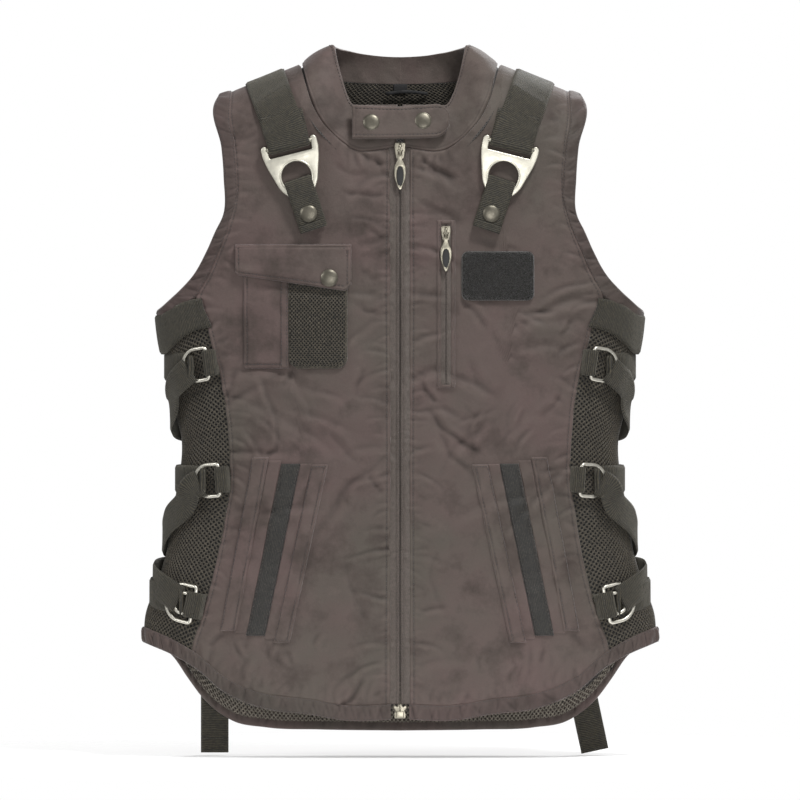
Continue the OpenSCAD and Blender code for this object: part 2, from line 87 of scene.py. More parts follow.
# Outlines of one half of the vest
half_w = outline([(20, 206), (60, 221), (101, 231), (125, 230.5), (155, 220), (180, 212), (220, 206),
                  (249, 200), (285, 198), (307, 203), (336, 206), (362, 214), (399, 219), (460, 219)])
seam_x = outline([(30, 185), (104, 185), (112, 182), (143, 172), (180, 163), (215, 157), (240, 153),
                  (279, 153), (304, 155), (342, 161), (367, 168), (384, 172), (412, 180), (432, 170),
                  (455, 160), (474, 152), (490, 147), (519, 145), (545, 147), (580, 151), (600, 150)])
front_hem = outline([(0, 33), (50, 32), (80, 37), (120, 42), (144, 50), (162, 60), (179, 75),
                     (200, 88), (230, 101)])
back_hem = outline([(0, 20), (73, 21), (121, 23), (153, 30), (179, 51), (193, 70), (206, 88),
                    (230, 101)])
neck_z = outline([(0, 545), (47, 546.5), (60, 558), (70, 571), (79, 591), (88, 622)])
ARM_EDGE = [(163, 594), (167, 585), (160, 545), (158, 519), (159, 483), (165, 471), (173, 453),
            (186, 430), (197, 418), (208, 408), (215, 402), (218.4, 399.6), (218.99, 399)]
ARM_INNER = [(151, 597), (152, 580), (148, 545), (146, 519), (148, 490), (153, 474), (161, 455),
             (171, 432), (181, 414), (193, 403), (204, 394), (212, 386), (215.9, 384)]


def smooth(t):
    t = np.clip(t, 0.0, 1.0)
    return t * t * (3 - 2 * t)


def between(a, b, t):
    return a + (b - a) * t


def unit(v):
    return v / np.maximum(np.linalg.norm(v, axis=-1, keepdims=True), 1e-9)


def travel(points):
    """Distance walked along a row of points."""
    return np.concatenate([[0], np.cumsum(np.linalg.norm(np.diff(points, axis=0), axis=1))])


def same_shape(*parts):
    return np.broadcast_arrays(*(np.asarray(p, float) for p in parts))


def stack(*parts):
    """Points from their coordinates, which are stretched to one shape."""
    return np.stack(np.broadcast_arrays(*parts), axis=-1)


def mirror(s):
    """Factors that turn a point of the left side into one of side s."""
    return np.array([s, 1, 1])


# ---------------------------------------------------------------- the body's surface
# q runs over the shoulder: degrees of roll up to 90, then mm downwards; negative at the front.
def half_d(z):
    return CHEST_D - PULL_IN * smooth((WAIST_Z - z) / 260)


def ridge_z(x):
    return SHOULDER_Z - SLOPE * np.maximum(0, np.abs(x) - NECK_HALF)


def full_d(x, z):
    return half_d(z) * np.maximum(0, 1 - (np.abs(x) / half_w(z)) ** SQUARE) ** (1 / SQUARE)


def q_to_z(x, q):
    a = np.abs(q)
    return ridge_z(x) - ROLL_R * (1 - np.cos(np.radians(np.minimum(90, a)))) - np.maximum(0, a - 90)


def z_to_q(x, z):
    drop = np.maximum(0, ridge_z(x) - z)
    return np.where(drop >= ROLL_R, 90 + drop - ROLL_R,
                    np.degrees(np.arccos(np.clip(1 - drop / ROLL_R, -1, 1))))


def level_q(x0, x, q):
    """The shoulder line falls outwards: q at x that keeps the height q has at x0."""
    return q - np.sign(q) * (ridge_z(x0) - ridge_z(x)) * smooth((np.abs(q) - 90) / 160)


def body(x, q):
    z = q_to_z(x, q)
    y = np.sign(q) * np.sin(np.radians(np.minimum(90, np.abs(q)))) * full_d(x, z)
    return stack(x, y, z)


def body_normal(x, q, h=0.4):
    return unit(np.cross(body(x + h, q) - body(x - h, q), body(x, q + h) - body(x, q - h)))


# Soft relief of the cloth: broad swells, and creases as short strokes
def swell(x, z, seed):
    r = np.random.default_rng(seed)
    total = np.zeros(np.broadcast(x, z).shape)
    for size, height in ((110, 0.9), (62, 0.6), (34, 0.32), (19, 0.14)):
        for _ in range(5):
            a = r.uniform(0, 2 * math.pi)
            k = 2 * math.pi / (size * r.uniform(0.75, 1.35))
            total = total + height * 0.5 * np.sin(
                k * (x * math.cos(a) + z * math.sin(a)) + r.uniform(0, 6.28))
    return total


def make_creases():
    """Creases of the front: (x, z, angle, length, width, height), as the cloth pulls at its seams."""
    found = []

    def add(x, z, angle, length, width, height):
        found.append((x, z, math.radians(angle), length, width, height))

    for s in (LEFT, RIGHT):
        for z in np.arange(52, 530, 8.5):                      # puckers along the zip
            add(s * (ZIP_HALF + rng.uniform(2, 8)), z + rng.uniform(-4, 4), s * rng.uniform(-28, 20),
                rng.uniform(12, 30), rng.uniform(1.6, 2.8), rng.uniform(0.25, 0.6))
        for z in np.arange(70, 520, 34):                       # longer pulls off the zip
            add(s * rng.uniform(16, 34), z + rng.uniform(-12, 12), s * rng.uniform(-42, 34),
                rng.uniform(34, 78), rng.uniform(3, 5.5), rng.uniform(0.5, 1.1))
        for x in np.arange(14, 84, 9):                         # below the collar
            z = float(neck_z(x)) - rng.uniform(5, 12)
            add(s * x, z, 90 + s * (x - 40) * 0.9 + rng.uniform(-14, 14), rng.uniform(14, 34),
                rng.uniform(1.8, 3.2), rng.uniform(0.3, 0.8))
        for z in np.arange(110, 580, 13):                      # along the side seam and the armhole
            x = float(seam_x(z)) - rng.uniform(3, 12)
            add(s * x, z, s * rng.uniform(-34, 30), rng.uniform(14, 40), rng.uniform(2, 3.6),
                rng.uniform(0.3, 0.9))
        for x in np.arange(16, 186, 8):                        # above the hem
            add(s * x, float(front_hem(x)) + BAND_W + rng.uniform(2, 10), 90 + rng.uniform(-24, 24),
                rng.uniform(10, 26), rng.uniform(1.6, 3), rng.uniform(0.25, 0.6))
        for k in range(7):                                     # round the ends of the hand pocket
            add(s * rng.uniform(60, 140), rng.uniform(272, 322), s * rng.uniform(20, 80),
                rng.uniform(24, 60), rng.uniform(2.5, 4.5), rng.uniform(0.5, 1.1))
            add(s * rng.uniform(30, 170), rng.uniform(62, 104), rng.uniform(60, 120),
                rng.uniform(16, 40), rng.uniform(2.5, 4), rng.uniform(0.4, 0.9))
        for k in range(9):                                     # broad pulls over the waist
            add(s * rng.uniform(40, 150), rng.uniform(180, 420), s * rng.uniform(-62, 48),
                rng.uniform(60, 130), rng.uniform(5, 9), rng.uniform(0.7, 1.5))
        for z in np.arange(548, 612, 9):                       # across the shoulder
            add(s * rng.uniform(96, 142), z, s * rng.uniform(-30, -6), rng.uniform(16, 34),
                rng.uniform(2.4, 4), rng.uniform(0.4, 0.8))
    for k in range(9):                                         # fanned out from under the loop patch
        add(64 + 6.5 * k, 400 - 0.8 * k, -68 + 9 * k + rng.uniform(-5, 5), rng.uniform(34, 84),
            rng.uniform(2.6, 5), rng.uniform(0.7, 1.4))
    return np.array(found)


CREASES = make_creases()
# Long pulled furrows of the front, from end to end: (x, z, x, z, width, depth)
FURROWS = [
    (12, 546, 52, 513, 2.0, 2.0), (17, 500, 62, 479, 2.6, 1.1), (67, 470, 108, 451, 2.6, 1.0),
    (57, 413, 81, 381, 1.7, 2.0), (80, 383, 110, 354, 2.8, 1.2),
    (142, 372, 156, 387, 2.0, 1.4), (18, 340, 34, 317, 2.0, 1.8), (21, 317, 75, 265, 2.1, 2.2),
    (34, 296, 64, 249, 2.4, 1.7), (60, 356, 92, 322, 3.0, 1.2), (24, 452, 60, 440, 2.8, 1.0),
    (-42, 552, -11, 528, 1.9, 2.0), (-56, 508, -13, 505, 2.2, 1.5), (-60, 530, -22, 520, 3.0, 1.0),
    (-33, 404, -18, 399, 1.8, 1.4), (-32, 349, -43, 320, 2.4, 1.3), (-99, 346, -107, 329, 2.0, 1.6),
    (-142, 349, -158, 320, 2.3, 1.6), (-31, 256, -13, 240, 2.0, 1.5), (-117, 272, -109, 286, 1.8, 1.6),
    (-58, 43, -30, 70, 1.9, 2.0), (-170, 98, -157, 113, 1.9, 1.8), (-177, 80, -166, 99, 2.2, 1.5),
    (-123, 104, -118, 86, 1.8, 1.5), (-101, 99, -96, 80, 1.7, 1.3), (-43, 182, -26, 112, 3.2, 1.0),
    (-62, 292, -40, 262, 2.8, 1.1), (-30, 470, -14, 462, 1.7, 1.2), (-36, 436, -15, 425, 2.0, 1.0),
    (126, 82, 132, 96, 1.8, 1.5), (96, 62, 104, 80, 2.0, 1.2), (48, 38, 60, 58, 2.0, 1.3),
    (170, 92, 160, 112, 2.0, 1.5), (30, 186, 44, 120, 3.2, 0.9), (128, 300, 150, 330, 2.4, 1.2),
]


def crease_relief(x, z):
    total = np.zeros(x.shape)
    for cx, cz, a, length, width, height in CREASES:
        near = (np.abs(x - cx) < length * 0.6 + 3 * width) & (np.abs(z - cz) < length * 0.6 + 3 * width)
        if not near.any():
            continue
        dx, dz = x[near] - cx, z[near] - cz
        along = (dx * math.cos(a) + dz * math.sin(a)) / (length / 2)
        bend = 0.10 * length * (along ** 2 - 0.5)
        across = (-dx * math.sin(a) + dz * math.cos(a) + bend) / width
        fade = np.clip(1 - along ** 2, 0, 1) ** 1.5
        total[near] += height * fade * (0.8 * np.exp(-across ** 2) - np.exp(-((across - 1.1) / 0.6) ** 2))
    return total


def furrow_relief(x, z):
    """Narrow dark valleys with a soft ridge on their upper side."""
    total = np.zeros(x.shape)
    for x0, z0, x1, z1, width, depth in FURROWS:
        span = math.hypot(x1 - x0, z1 - z0)
        ex, ez = (x1 - x0) / span, (z1 - z0) / span
        along = ((x - x0) * ex + (z - z0) * ez) / span
        across = (-(x - x0) * ez + (z - z0) * ex) * (1 if ex > 0 else -1)
        across = across + 0.07 * span * np.sin(np.pi * along) + 0.6 * np.sin(along * 9 + x0)
        fade = np.clip(1.15 - (2 * along - 1) ** 4, 0, 1) * (np.abs(2 * along - 1) < 1.1)
        fade = fade * smooth((1.1 - np.abs(2 * along - 1)) / 0.5)
        valley = np.exp(-np.abs(across / width) ** 1.4)
        ridge = np.exp(-((across - 2.3 * width) / (1.9 * width)) ** 2)
        total += depth * fade * (0.55 * ridge - valley)
    return total


# Rigid trims sit on calm cloth: swells and creases fade to nothing round these (x, z, radius)
CALM = [(92, 519, 42), (-92, 519, 42), (87.5, 430, 44), (-20, 567, 20), (20, 567, 20)]


def calm(x, z):
    keep = np.ones(np.broadcast(x, z).shape)
    for cx, cz, r in CALM:
        keep = keep * smooth((np.hypot(x - cx, z - cz) - r * 0.7) / (r * 0.6))
    return keep


def under_strap(x, z, back):
    """0 under the shoulder webbing, 1 away from it."""
    slope = math.tan(STRAP_LEAN) * (0.7 if back else 1.0)
    middle = 121.3 - slope * (609.0 - z)
    low = 420 if back else 536
    return 1 - (1 - smooth((np.abs(np.abs(x) - middle) - 20) / 9)) * smooth((z - low) / 12)


def relief_map(back):
    """The cloth's relief over the whole front or back, on a 1 mm grid of x and z."""
    x, z = np.meshgrid(np.arange(-245.0, 246), np.arange(0.0, 641), indexing="ij")
    # a slow warp keeps the creases from looking ruled
    wx = x + 2.2 * swell(x, z, 21) + 1.2 * np.sin(z / 11.0 + x / 37.0)
    wz = z + 2.2 * swell(z, x, 22) + 1.2 * np.sin(x / 13.0 - z / 29.0)
    edge = smooth((ridge_z(x) - z + 6) / 30)
    if back:
        total = (1.3 * swell(x, z, 5) + 1.7 * crease_relief(-wx * 0.97, wz + 17)
                 + 0.6 * furrow_relief(-wx, wz + 14))
    else:
        total = (0.85 * swell(x, z, 3) + 1.9 * crease_relief(wx, wz)) * calm(x, z)
        total = total + 1.2 * furrow_relief(wx, wz)
    total = total * (0.3 + 0.7 * edge) * under_strap(x, z, back)
    for _ in range(2 if back else 1):   # soften the sharpest crossings
        total[1:-1] = 0.25 * (total[:-2] + total[2:]) + 0.5 * total[1:-1]
        total[:, 1:-1] = 0.25 * (total[:, :-2] + total[:, 2:]) + 0.5 * total[:, 1:-1]
    return total


RELIEF = {False: relief_map(False), True: relief_map(True)}


def sample(grid, x, z):
    """Bilinear look-up in a relief map."""
    fx, fz = np.clip(x + 245.0, 0, 489.999), np.clip(z, 0, 639.999)
    i, j = fx.astype(int), fz.astype(int)
    a, b = fx - i, fz - j
    return ((1 - a) * (1 - b) * grid[i, j] + a * (1 - b) * grid[i + 1, j]
            + (1 - a) * b * grid[i, j + 1] + a * b * grid[i + 1, j + 1])


def relief(x, q):
    z = q_to_z(x, q)
    x, q, z = same_shape(x, q, z)
    found = np.where(q < 0, sample(RELIEF[False], x, z), sample(RELIEF[True], x, z))
    return found * smooth(np.abs(q) / 12)


def surf(x, q, o, cloth=1.0):
    """A point at offset o from the body, with the cloth's relief added."""
    x, q, o = same_shape(x, q, o)
    lift = o + (cloth * relief(x, q) if np.any(cloth) else 0.0)
    return body(x, q) + lift[..., None] * body_normal(x, q)


def front(x, z, o, cloth=1.0):
    """A point over the front at height z, for either sign of x."""
    return surf(x, -np.maximum(0.3, z_to_q(x, z)), o, cloth)


def side_x(t, z):
    return half_w(z) * np.cos(np.radians(t)) ** (2 / SQUARE)


def side_t(x, z):
    return np.degrees(np.arccos(np.minimum(1, x / half_w(z)) ** (SQUARE / 2)))


def side(s, t, z, o):
    """The same surface by an angle round the side: -90 front, 0 the side, 90 the back."""
    t, z, o = same_shape(t, z, o)
    x, d = side_x(t, z), half_d(z)
    y = np.sign(t) * d * np.abs(np.sin(np.radians(t))) ** (2 / SQUARE)
    n = unit(np.stack([(x / half_w(z)) ** (SQUARE - 1) / half_w(z),
                       np.sign(t) * (np.abs(y) / d) ** (SQUARE - 1) / d, np.zeros_like(x)], -1))
    p = np.stack([x, y, z], -1) + o[..., None] * n
    return p * mirror(s)


# ---------------------------------------------------------------- mesh building
def add_object(name, mesh, material):
    """Puts a mesh in the scene, smooth-shaded."""
    mesh.polygons.foreach_set("use_smooth", [True] * len(mesh.polygons))
    mesh.materials.append(material)
    obj = bpy.data.objects.new(name, mesh)
    bpy.context.collection.objects.link(obj)
    return obj


def new_object(name, verts, faces, material, uv=None):
    """An object from vertices in millimetres, faces and one uv pair per vertex."""
    mesh = bpy.data.meshes.new(name)
    mesh.from_pydata((np.asarray(verts, float) * MM).tolist(), [], faces)
    if uv is not None:
        layer = mesh.uv_layers.new(name="UVMap")
        index = np.empty(len(mesh.loops), dtype=np.int32)
        mesh.loops.foreach_get("vertex_index", index)
        layer.data.foreach_set("uv", np.asarray(uv, float)[index].ravel())
    mesh.validate()
    return add_object(name, mesh, material)


def lengths(points):
    """Distance along the first axis of a grid, averaged over the second."""
    step = np.linalg.norm(np.diff(points, axis=0), axis=-1)
    return np.concatenate([[0], np.cumsum(step.mean(axis=1))])


def sheet(name, top, low, material, loop=False, uv=None):
    """A closed sheet between two grids of points, with its UVs in millimetres."""
    rows, cols = top.shape[:2]
    n = rows * cols
    if uv is None:
        u, v = lengths(top), lengths(top.transpose(1, 0, 2))
        uv = np.stack(np.meshgrid(u, v, indexing="ij"), -1)
    i = np.arange(rows if loop else rows - 1)
    j = np.arange(cols - 1)
    a = (i[:, None] * cols + j).ravel()
    b = (((i + 1) % rows)[:, None] * cols + j).ravel()
    quads = [np.stack([a, a + 1, b + 1, b], 1), np.stack([a + n, b + n, b + n + 1, a + n + 1], 1)]
    p, q = i * cols, ((i + 1) % rows) * cols
    quads.append(np.stack([p, q, q + n, p + n], 1))
    p, q = p + cols - 1, q + cols - 1
    quads.append(np.stack([p, p + n, q + n, q], 1))
    if not loop:
        quads.append(np.stack([j + 1, j, j + n, j + 1 + n], 1))
        k = (rows - 1) * cols + j
        quads.append(np.stack([k, k + 1, k + 1 + n, k + n], 1))
    faces = np.concatenate(quads)
    # turn the faces outwards
    m, c = rows // 2, cols // 2
    du, dv = top[m + 1, c] - top[m, c], top[m, c + 1] - top[m, c]
    if np.dot(np.cross(dv, du), top[m, c] - low[m, c]) < 0:
        faces = faces[:, ::-1]
    verts = np.concatenate([top.reshape(-1, 3), low.reshape(-1, 3)])
    flat = uv.reshape(-1, 2)
    return new_object(name, verts, faces.tolist(), material, np.concatenate([flat, flat]))


def crown(d, r):
    """Rounded rise of a padded edge: 0 at the edge, 1 from r millimetres in."""
    t = np.clip(d / r, 0, 1)
    return np.sqrt(np.clip(1 - (1 - t) ** 2, 0, 1))


def edge_steps(length, step, fine=(0, 0.5, 1.2, 2.0, 2.8, 3.6, 4.4, 5.4)):
    """Stations from 0 to 1 along a length, closer together near both ends."""
    fine = np.array(fine) * min(1.0, length / 13.0)
    middle = np.linspace(fine[-1], length - fine[-1], max(2, int((length - 2 * fine[-1]) / step)))
    return np.concatenate([fine[:-1], middle, length - fine[:-1][::-1]]) / length


def pad(name, f, size, step, lo, hi, material, radius=2.6, grooves=(), extra=None):
    """A padded sheet over f(u, v, o), with crowned edges and sunk stitch lines."""
    u, v = edge_steps(size[0], step), edge_steps(size[1], step)
    u, v = np.meshgrid(u, v, indexing="ij")
    du = np.minimum(u, 1 - u) * size[0]
    dv = np.minimum(v, 1 - v) * size[1]
    edge = crown(du, radius) * crown(dv, radius)
    top = lo + (hi - lo) * (0.12 + 0.88 * edge)
    for axis, at, depth in grooves:
        d = (u * size[0] if axis == "u" else v * size[1]) - at
        top = top - depth * np.exp(-(d / 0.9) ** 2)
    if extra is not None:
        top = top + extra(u, v) * edge
    return sheet(name, f(u, v, top), f(u, v, np.full_like(u, lo)), material)


def grid_normals(p, loop=False):
    if loop:
        du = np.roll(p, -1, 0) - np.roll(p, 1, 0)
    else:
        du = np.gradient(p, axis=0)
    return unit(np.cross(du, np.gradient(p, axis=1)))


def strip(name, centre, across, normal, width, thick, material, cols=9):
    """Webbing along a path: centre line, width direction and normal, all per station."""
    w = np.linspace(-0.5, 0.5, cols)
    rise = thick * (0.35 + 0.65 * crown((0.5 - np.abs(w)) * width, 1.1))
    base = centre[:, None] + across[:, None] * (w * width)[None, :, None]
    low_in = thick * 0.3 * (1 - crown((0.5 - np.abs(w)) * width, 1.1))
    top = base + normal[:, None] * rise[None, :, None]
    low = base + normal[:, None] * low_in[None, :, None]
    u = lengths(centre[:, None])
    uv = np.stack(np.meshgrid(u, (w + 0.5) * width, indexing="ij"), -1)
    return sheet(name, top, low, material, uv=uv)


def resample(points, step):
    points = np.asarray(points, float)
    d = travel(points)
    at = np.linspace(0, d[-1], max(3, int(d[-1] / step) + 1))
    return np.stack([np.interp(at, d, points[:, k]) for k in range(points.shape[1])], 1)


class Thread:
    """Gathers rows of stitches, each a small spindle, into one mesh."""

    def __init__(self):
        self.verts, self.faces = [], []

    def row(self, points, normals, pitch=3.4, long=2.5, r=0.33):
        points = np.asarray(points, float)
        d = travel(points)
        if d[-1] < pitch:
            return
        starts = np.arange(0.4, d[-1] - long, pitch)

        def pick(at, row):
            return np.stack([np.interp(at, d, row[:, k]) for k in range(3)], 1)
        a, b = pick(starts, points), pick(starts + long, points)
        n = unit(pick(starts + long / 2, np.asarray(normals, float)))
        t = unit(b - a)
        w = np.cross(n, t)
        ring = [(math.cos(k * math.pi / 3), math.sin(k * math.pi / 3)) for k in range(6)]
        for k in range(len(starts)):
            base = len(self.verts)
            self.verts.append(a[k] - 0.2 * n[k])
            for along in (0.22, 0.78):
                mid = a[k] + (b[k] - a[k]) * along
                for c, s in ring:
                    self.verts.append(mid + r * (c * w[k] + s * n[k]))
            self.verts.append(b[k] - 0.2 * n[k])
            for m in range(6):
                e = (m + 1) % 6
                self.faces.append((base, base + 1 + e, base + 1 + m))
                self.faces.append((base + 1 + m, base + 1 + e, base + 7 + e, base + 7 + m))
                self.faces.append((base + 7 + m, base + 7 + e, base + 13))

    def along(self, f, u, v, o, *size):
        """A row over f at the surface coordinates u and v, one of which may be a single number."""
        u, v = same_shape(u, v)
        self.row(*row_on(f, u, v, o), *size)

    def make(self, name, material):
        return new_object(name, np.array(self.verts), self.faces, material)


# ---------------------------------------------------------------- materials
class Nodes:
    """A short way to write a node tree: calls return sockets."""

    def __init__(self, name, rough=0.6, metal=0.0):
        self.material = bpy.data.materials.new(name)
        self.material.use_nodes = True
        self.tree = self.material.node_tree
        self.bsdf = self.tree.nodes["Principled BSDF"]
        self.bsdf.inputs["Roughness"].default_value = rough
        self.bsdf.inputs["Metallic"].default_value = metal
        self.bump_socket = None

    def new(self, kind, inputs=(), out=0, **settings):
        n = self.tree.nodes.new("ShaderNode" + kind)
        for k, v in settings.items():
            setattr(n, k, v)
        for k, v in dict(inputs).items():
            if hasattr(v, "is_output"):
                self.tree.links.new(v, n.inputs[k])
            else:
                n.inputs[k].default_value = v
        return n.outputs[out]

    def math(self, op, a, b=0.0, c=0.0):
        return self.new("Math", {0: a, 1: b, 2: c}, operation=op)

    def uv(self):
        return self.new("TexCoord", out=2)

    def place(self):
        return self.new("TexCoord", out=3)

    def split(self, vector):
        n = self.tree.nodes.new("ShaderNodeSeparateXYZ")
        self.tree.links.new(vector, n.inputs[0])
        return n.outputs[0], n.outputs[1]

    def noise(self, vector, scale, detail=3.0, rough=0.55):
        return self.new("TexNoise", {"Vector": vector, "Scale": scale, "Detail": detail,
                                     "Roughness": rough}, out=0)

    def ramp(self, fac, stops):
        n = self.tree.nodes.new("ShaderNodeValToRGB")
        while len(n.color_ramp.elements) < len(stops):
            n.color_ramp.elements.new(0.5)
        for e, (at, colour) in zip(n.color_ramp.elements, stops):
            e.position = at
            e.color = (*colour, 1) if len(colour) == 3 else colour
        self.tree.links.new(fac, n.inputs[0])
        return n.outputs[0]

    def wave(self, coordinate, pitch, shift=0.0):
        """A sine of period pitch, between 0 and 1."""
        turned = self.math("MULTIPLY_ADD", coordinate, 2 * math.pi / pitch, shift)
        return self.math("MULTIPLY_ADD", self.math("SINE", turned), 0.5, 0.5)

    def colour(self, socket):
        self.tree.links.new(socket, self.bsdf.inputs["Base Color"])

    def link(self, socket, name):
        self.tree.links.new(socket, self.bsdf.inputs[name])

    def bump(self, height, strength, distance=0.001):
        inputs = {"Height": height, "Strength": strength, "Distance": distance}
        if self.bump_socket is not None:
            inputs["Normal"] = self.bump_socket
        self.bump_socket = self.new("Bump", inputs)
        self.tree.links.new(self.bump_socket, self.bsdf.inputs["Normal"])

    def sheen(self, weight, rough=0.4, tint=(1, 1, 1)):
        self.bsdf.inputs["Sheen Weight"].default_value = weight
        self.bsdf.inputs["Sheen Roughness"].default_value = rough
        self.bsdf.inputs["Sheen Tint"].default_value = (*tint, 1)


def shell_material(name="shell_nylon", light=1.0):
    """Matte woven nylon, dark grey-brown shifting from purple to green-grey, finely crinkled."""
    m = Nodes(name, 0.7)
    place, (u, v) = m.place(), m.split(m.uv())
    dark = [c * light for c in (0.066, 0.049, 0.042)]
    warm = [c * light for c in (0.124, 0.087, 0.080)]
    cool = [c * light for c in (0.101, 0.085, 0.071)]
    pale = [c * light for c in (0.152, 0.118, 0.103)]
    hue = m.ramp(m.noise(place, 7.5, 4, 0.6), [(0.36, cool), (0.62, warm)])
    shade = m.noise(place, 26.0, 5, 0.65)
    tone = m.new("MixRGB", {"Fac": m.ramp(shade, [(0.30, (1, 1, 1)), (0.50, (0, 0, 0))]), "Color1": hue,
                            "Color2": (*dark, 1)})
    tone = m.new("MixRGB", {"Fac": m.ramp(shade, [(0.62, (0, 0, 0)), (0.86, (1, 1, 1))]), "Color1": tone,
                            "Color2": (*pale, 1)})
    weave = m.math("MULTIPLY", m.wave(u, 0.62), m.wave(v, 0.62, 1.3))
    fine = m.noise(place, 900.0, 2)
    speck = m.math("MULTIPLY_ADD", m.math("ADD", weave, fine), 0.20, 0.80)
    # painted shade and highlight: the cloth is darkened in its valleys and painted paler on its ridges (by
    # pointiness), standing in for the shade and light the relief would catch
    painted_crease_shade_and_ridge_light = m.ramp(m.new("NewGeometry", out=7), [(0.44, (0.50, 0.50, 0.50)), (0.495, (0.9, 0.9, 0.9)),
                                               (0.56, (1.12, 1.12, 1.12))])
    # the painted crease shade and ridge highlight is multiplied into the weave speck here
    speck = m.new("MixRGB", {"Fac": 1.0, "Color1": speck, "Color2": painted_crease_shade_and_ridge_light}, blend_type="MULTIPLY")
    m.colour(m.new("MixRGB", {"Fac": 1.0, "Color1": tone, "Color2": speck}, blend_type="MULTIPLY"))
    m.link(m.math("MULTIPLY_ADD", m.noise(place, 30.0, 3), 0.24, 0.54), "Roughness")
    m.bump(weave, 0.25, 0.00025)
    m.bump(m.noise(place, 330.0, 5, 0.62), 0.30, 0.0009)
    m.bump(m.noise(place, 85.0, 4, 0.55), 0.34, 0.0026)
    m.sheen(0.30, 0.40, (0.95, 0.9, 0.9))
    m.bsdf.inputs["Specular IOR Level"].default_value = 0.30
    return m.material


def webbing_material():
    """Dense woven webbing: ribs across its width, and a slub in each rib."""
    m = Nodes("webbing", 0.62)
    place, (u, v) = m.place(), m.split(m.uv())
    wobble = m.math("MULTIPLY_ADD", m.noise(place, 160.0, 2), 1.6, u)
    ribs = m.wave(wobble, 1.55)
    threads = m.wave(v, 0.95)
    slub = m.noise(place, 420.0, 3)
    tone = m.ramp(m.math("MULTIPLY_ADD", slub, 0.6, m.math("MULTIPLY", ribs, 0.4)),
                  [(0.28, (0.010, 0.009, 0.006)), (0.55, (0.032, 0.028, 0.019)),
                   (0.82, (0.082, 0.069, 0.041))])
    m.colour(tone)
    m.bump(m.math("MULTIPLY_ADD", threads, 0.35, ribs), 0.75, 0.0006)
    m.bump(slub, 0.35, 0.0006)
    m.sheen(0.25, 0.4, (0.9, 0.86, 0.75))
    return m.material


def tape_material():
    m = Nodes("zip_tape", 0.6)
    place, (u, v) = m.place(), m.split(m.uv())
    ribs = m.wave(m.math("ADD", u, m.math("MULTIPLY", v, 0.6)), 1.1)
    tone = m.ramp(m.math("MULTIPLY_ADD", m.noise(place, 500.0, 2), 0.5, m.math("MULTIPLY", ribs, 0.5)),
                  [(0.25, (0.050, 0.040, 0.034)), (0.8, (0.150, 0.120, 0.102))])
    m.colour(tone)
    m.bump(ribs, 0.6, 0.0004)
    m.sheen(0.2)
    return m.material


def mesh_material(name, low=(0.009, 0.008, 0.006), high=(0.105, 0.088, 0.062)):
    """The knitted threads of the spacer mesh."""
    m = Nodes(name, 0.66)
    place = m.place()
    tone = m.ramp(m.noise(place, 750.0, 3), [(0.3, low), (0.72, high)])
    m.colour(tone)
    m.bump(m.noise(place, 1400.0, 2), 0.5, 0.0004)
    m.sheen(0.3)
    return m.material


def lining_material():
    """Fine mesh seen only inside: its holes are drawn, on a flat sheet."""
    m = Nodes("mesh_lining", 0.7)
    u, v = m.split(m.uv())
    a = m.wave(m.math("ADD", u, v), 3.0)
    b = m.wave(m.math("SUBTRACT", u, v), 3.0)
    holes = m.math("MULTIPLY", a, b)
    m.colour(m.ramp(holes, [(0.3, (0.062, 0.056, 0.052)), (0.5, (0.006, 0.006, 0.006))]))
    m.bump(m.math("MULTIPLY", holes, -1.0), 0.8, 0.0008)
    m.sheen(0.2)
    return m.material


def pile_material():
    m = Nodes("loop_pile", 0.9)
    place = m.place()
    m.colour(m.ramp(m.noise(place, 620.0, 4, 0.7), [(0.35, (0.004, 0.004, 0.003)),
                                                   (0.75, (0.037, 0.033, 0.028))]))
    m.bump(m.noise(place, 800.0, 3, 0.7), 1.0, 0.0012)
    m.sheen(0.5, 0.5)
    return m.material


def elastic_material():
    m = Nodes("ribbed_elastic", 0.55)
    place, (u, v) = m.place(), m.split(m.uv())
    grain = m.noise(place, 620.0, 4, 0.75)
    ribs = m.wave(m.math("ADD", v, m.math("MULTIPLY", m.noise(place, 220.0, 2), 1.6)), 1.5)
    knit = m.math("MULTIPLY_ADD", m.wave(u, 0.9), 0.18, m.math("MULTIPLY", ribs, 0.2))
    m.colour(m.ramp(m.math("MULTIPLY_ADD", grain, 0.8, knit), [
        (0.44, (0.003, 0.003, 0.003)), (0.62, (0.011, 0.010, 0.008)), (0.9, (0.085, 0.074, 0.057))]))
    m.bump(knit, 0.8, 0.0006)
    m.bump(grain, 0.6, 0.0006)
    m.sheen(0.3)
    return m.material


def metal_material(name, colour, rough, wear=0.25):
    """Cast or plated metal: faint grain, smudged roughness, small pits."""
    m = Nodes(name, rough, 1.0)
    place = m.place()
    smudge = m.noise(place, 120.0, 4)
    low = [c * (1 - wear) for c in colour]
    m.colour(m.ramp(smudge, [(0.3, low), (0.65, colour)]))
    m.link(m.math("MULTIPLY_ADD", m.noise(place, 260.0, 3), 0.28, rough - 0.12), "Roughness")
    m.bump(m.noise(place, 1100.0, 2), 0.12, 0.0003)
    m.bump(m.noise(place, 180.0, 3), 0.14, 0.0006)
    return m.material


def plain_material(name, colour, rough=0.7):
    m = Nodes(name, rough)
    place = m.place()
    m.colour(m.ramp(m.noise(place, 500.0, 3), [(0.3, [c * 0.6 for c in colour]), (0.7, colour)]))
    m.bump(m.noise(place, 900.0, 2), 0.4, 0.0003)
    m.sheen(0.2)
    return m.material


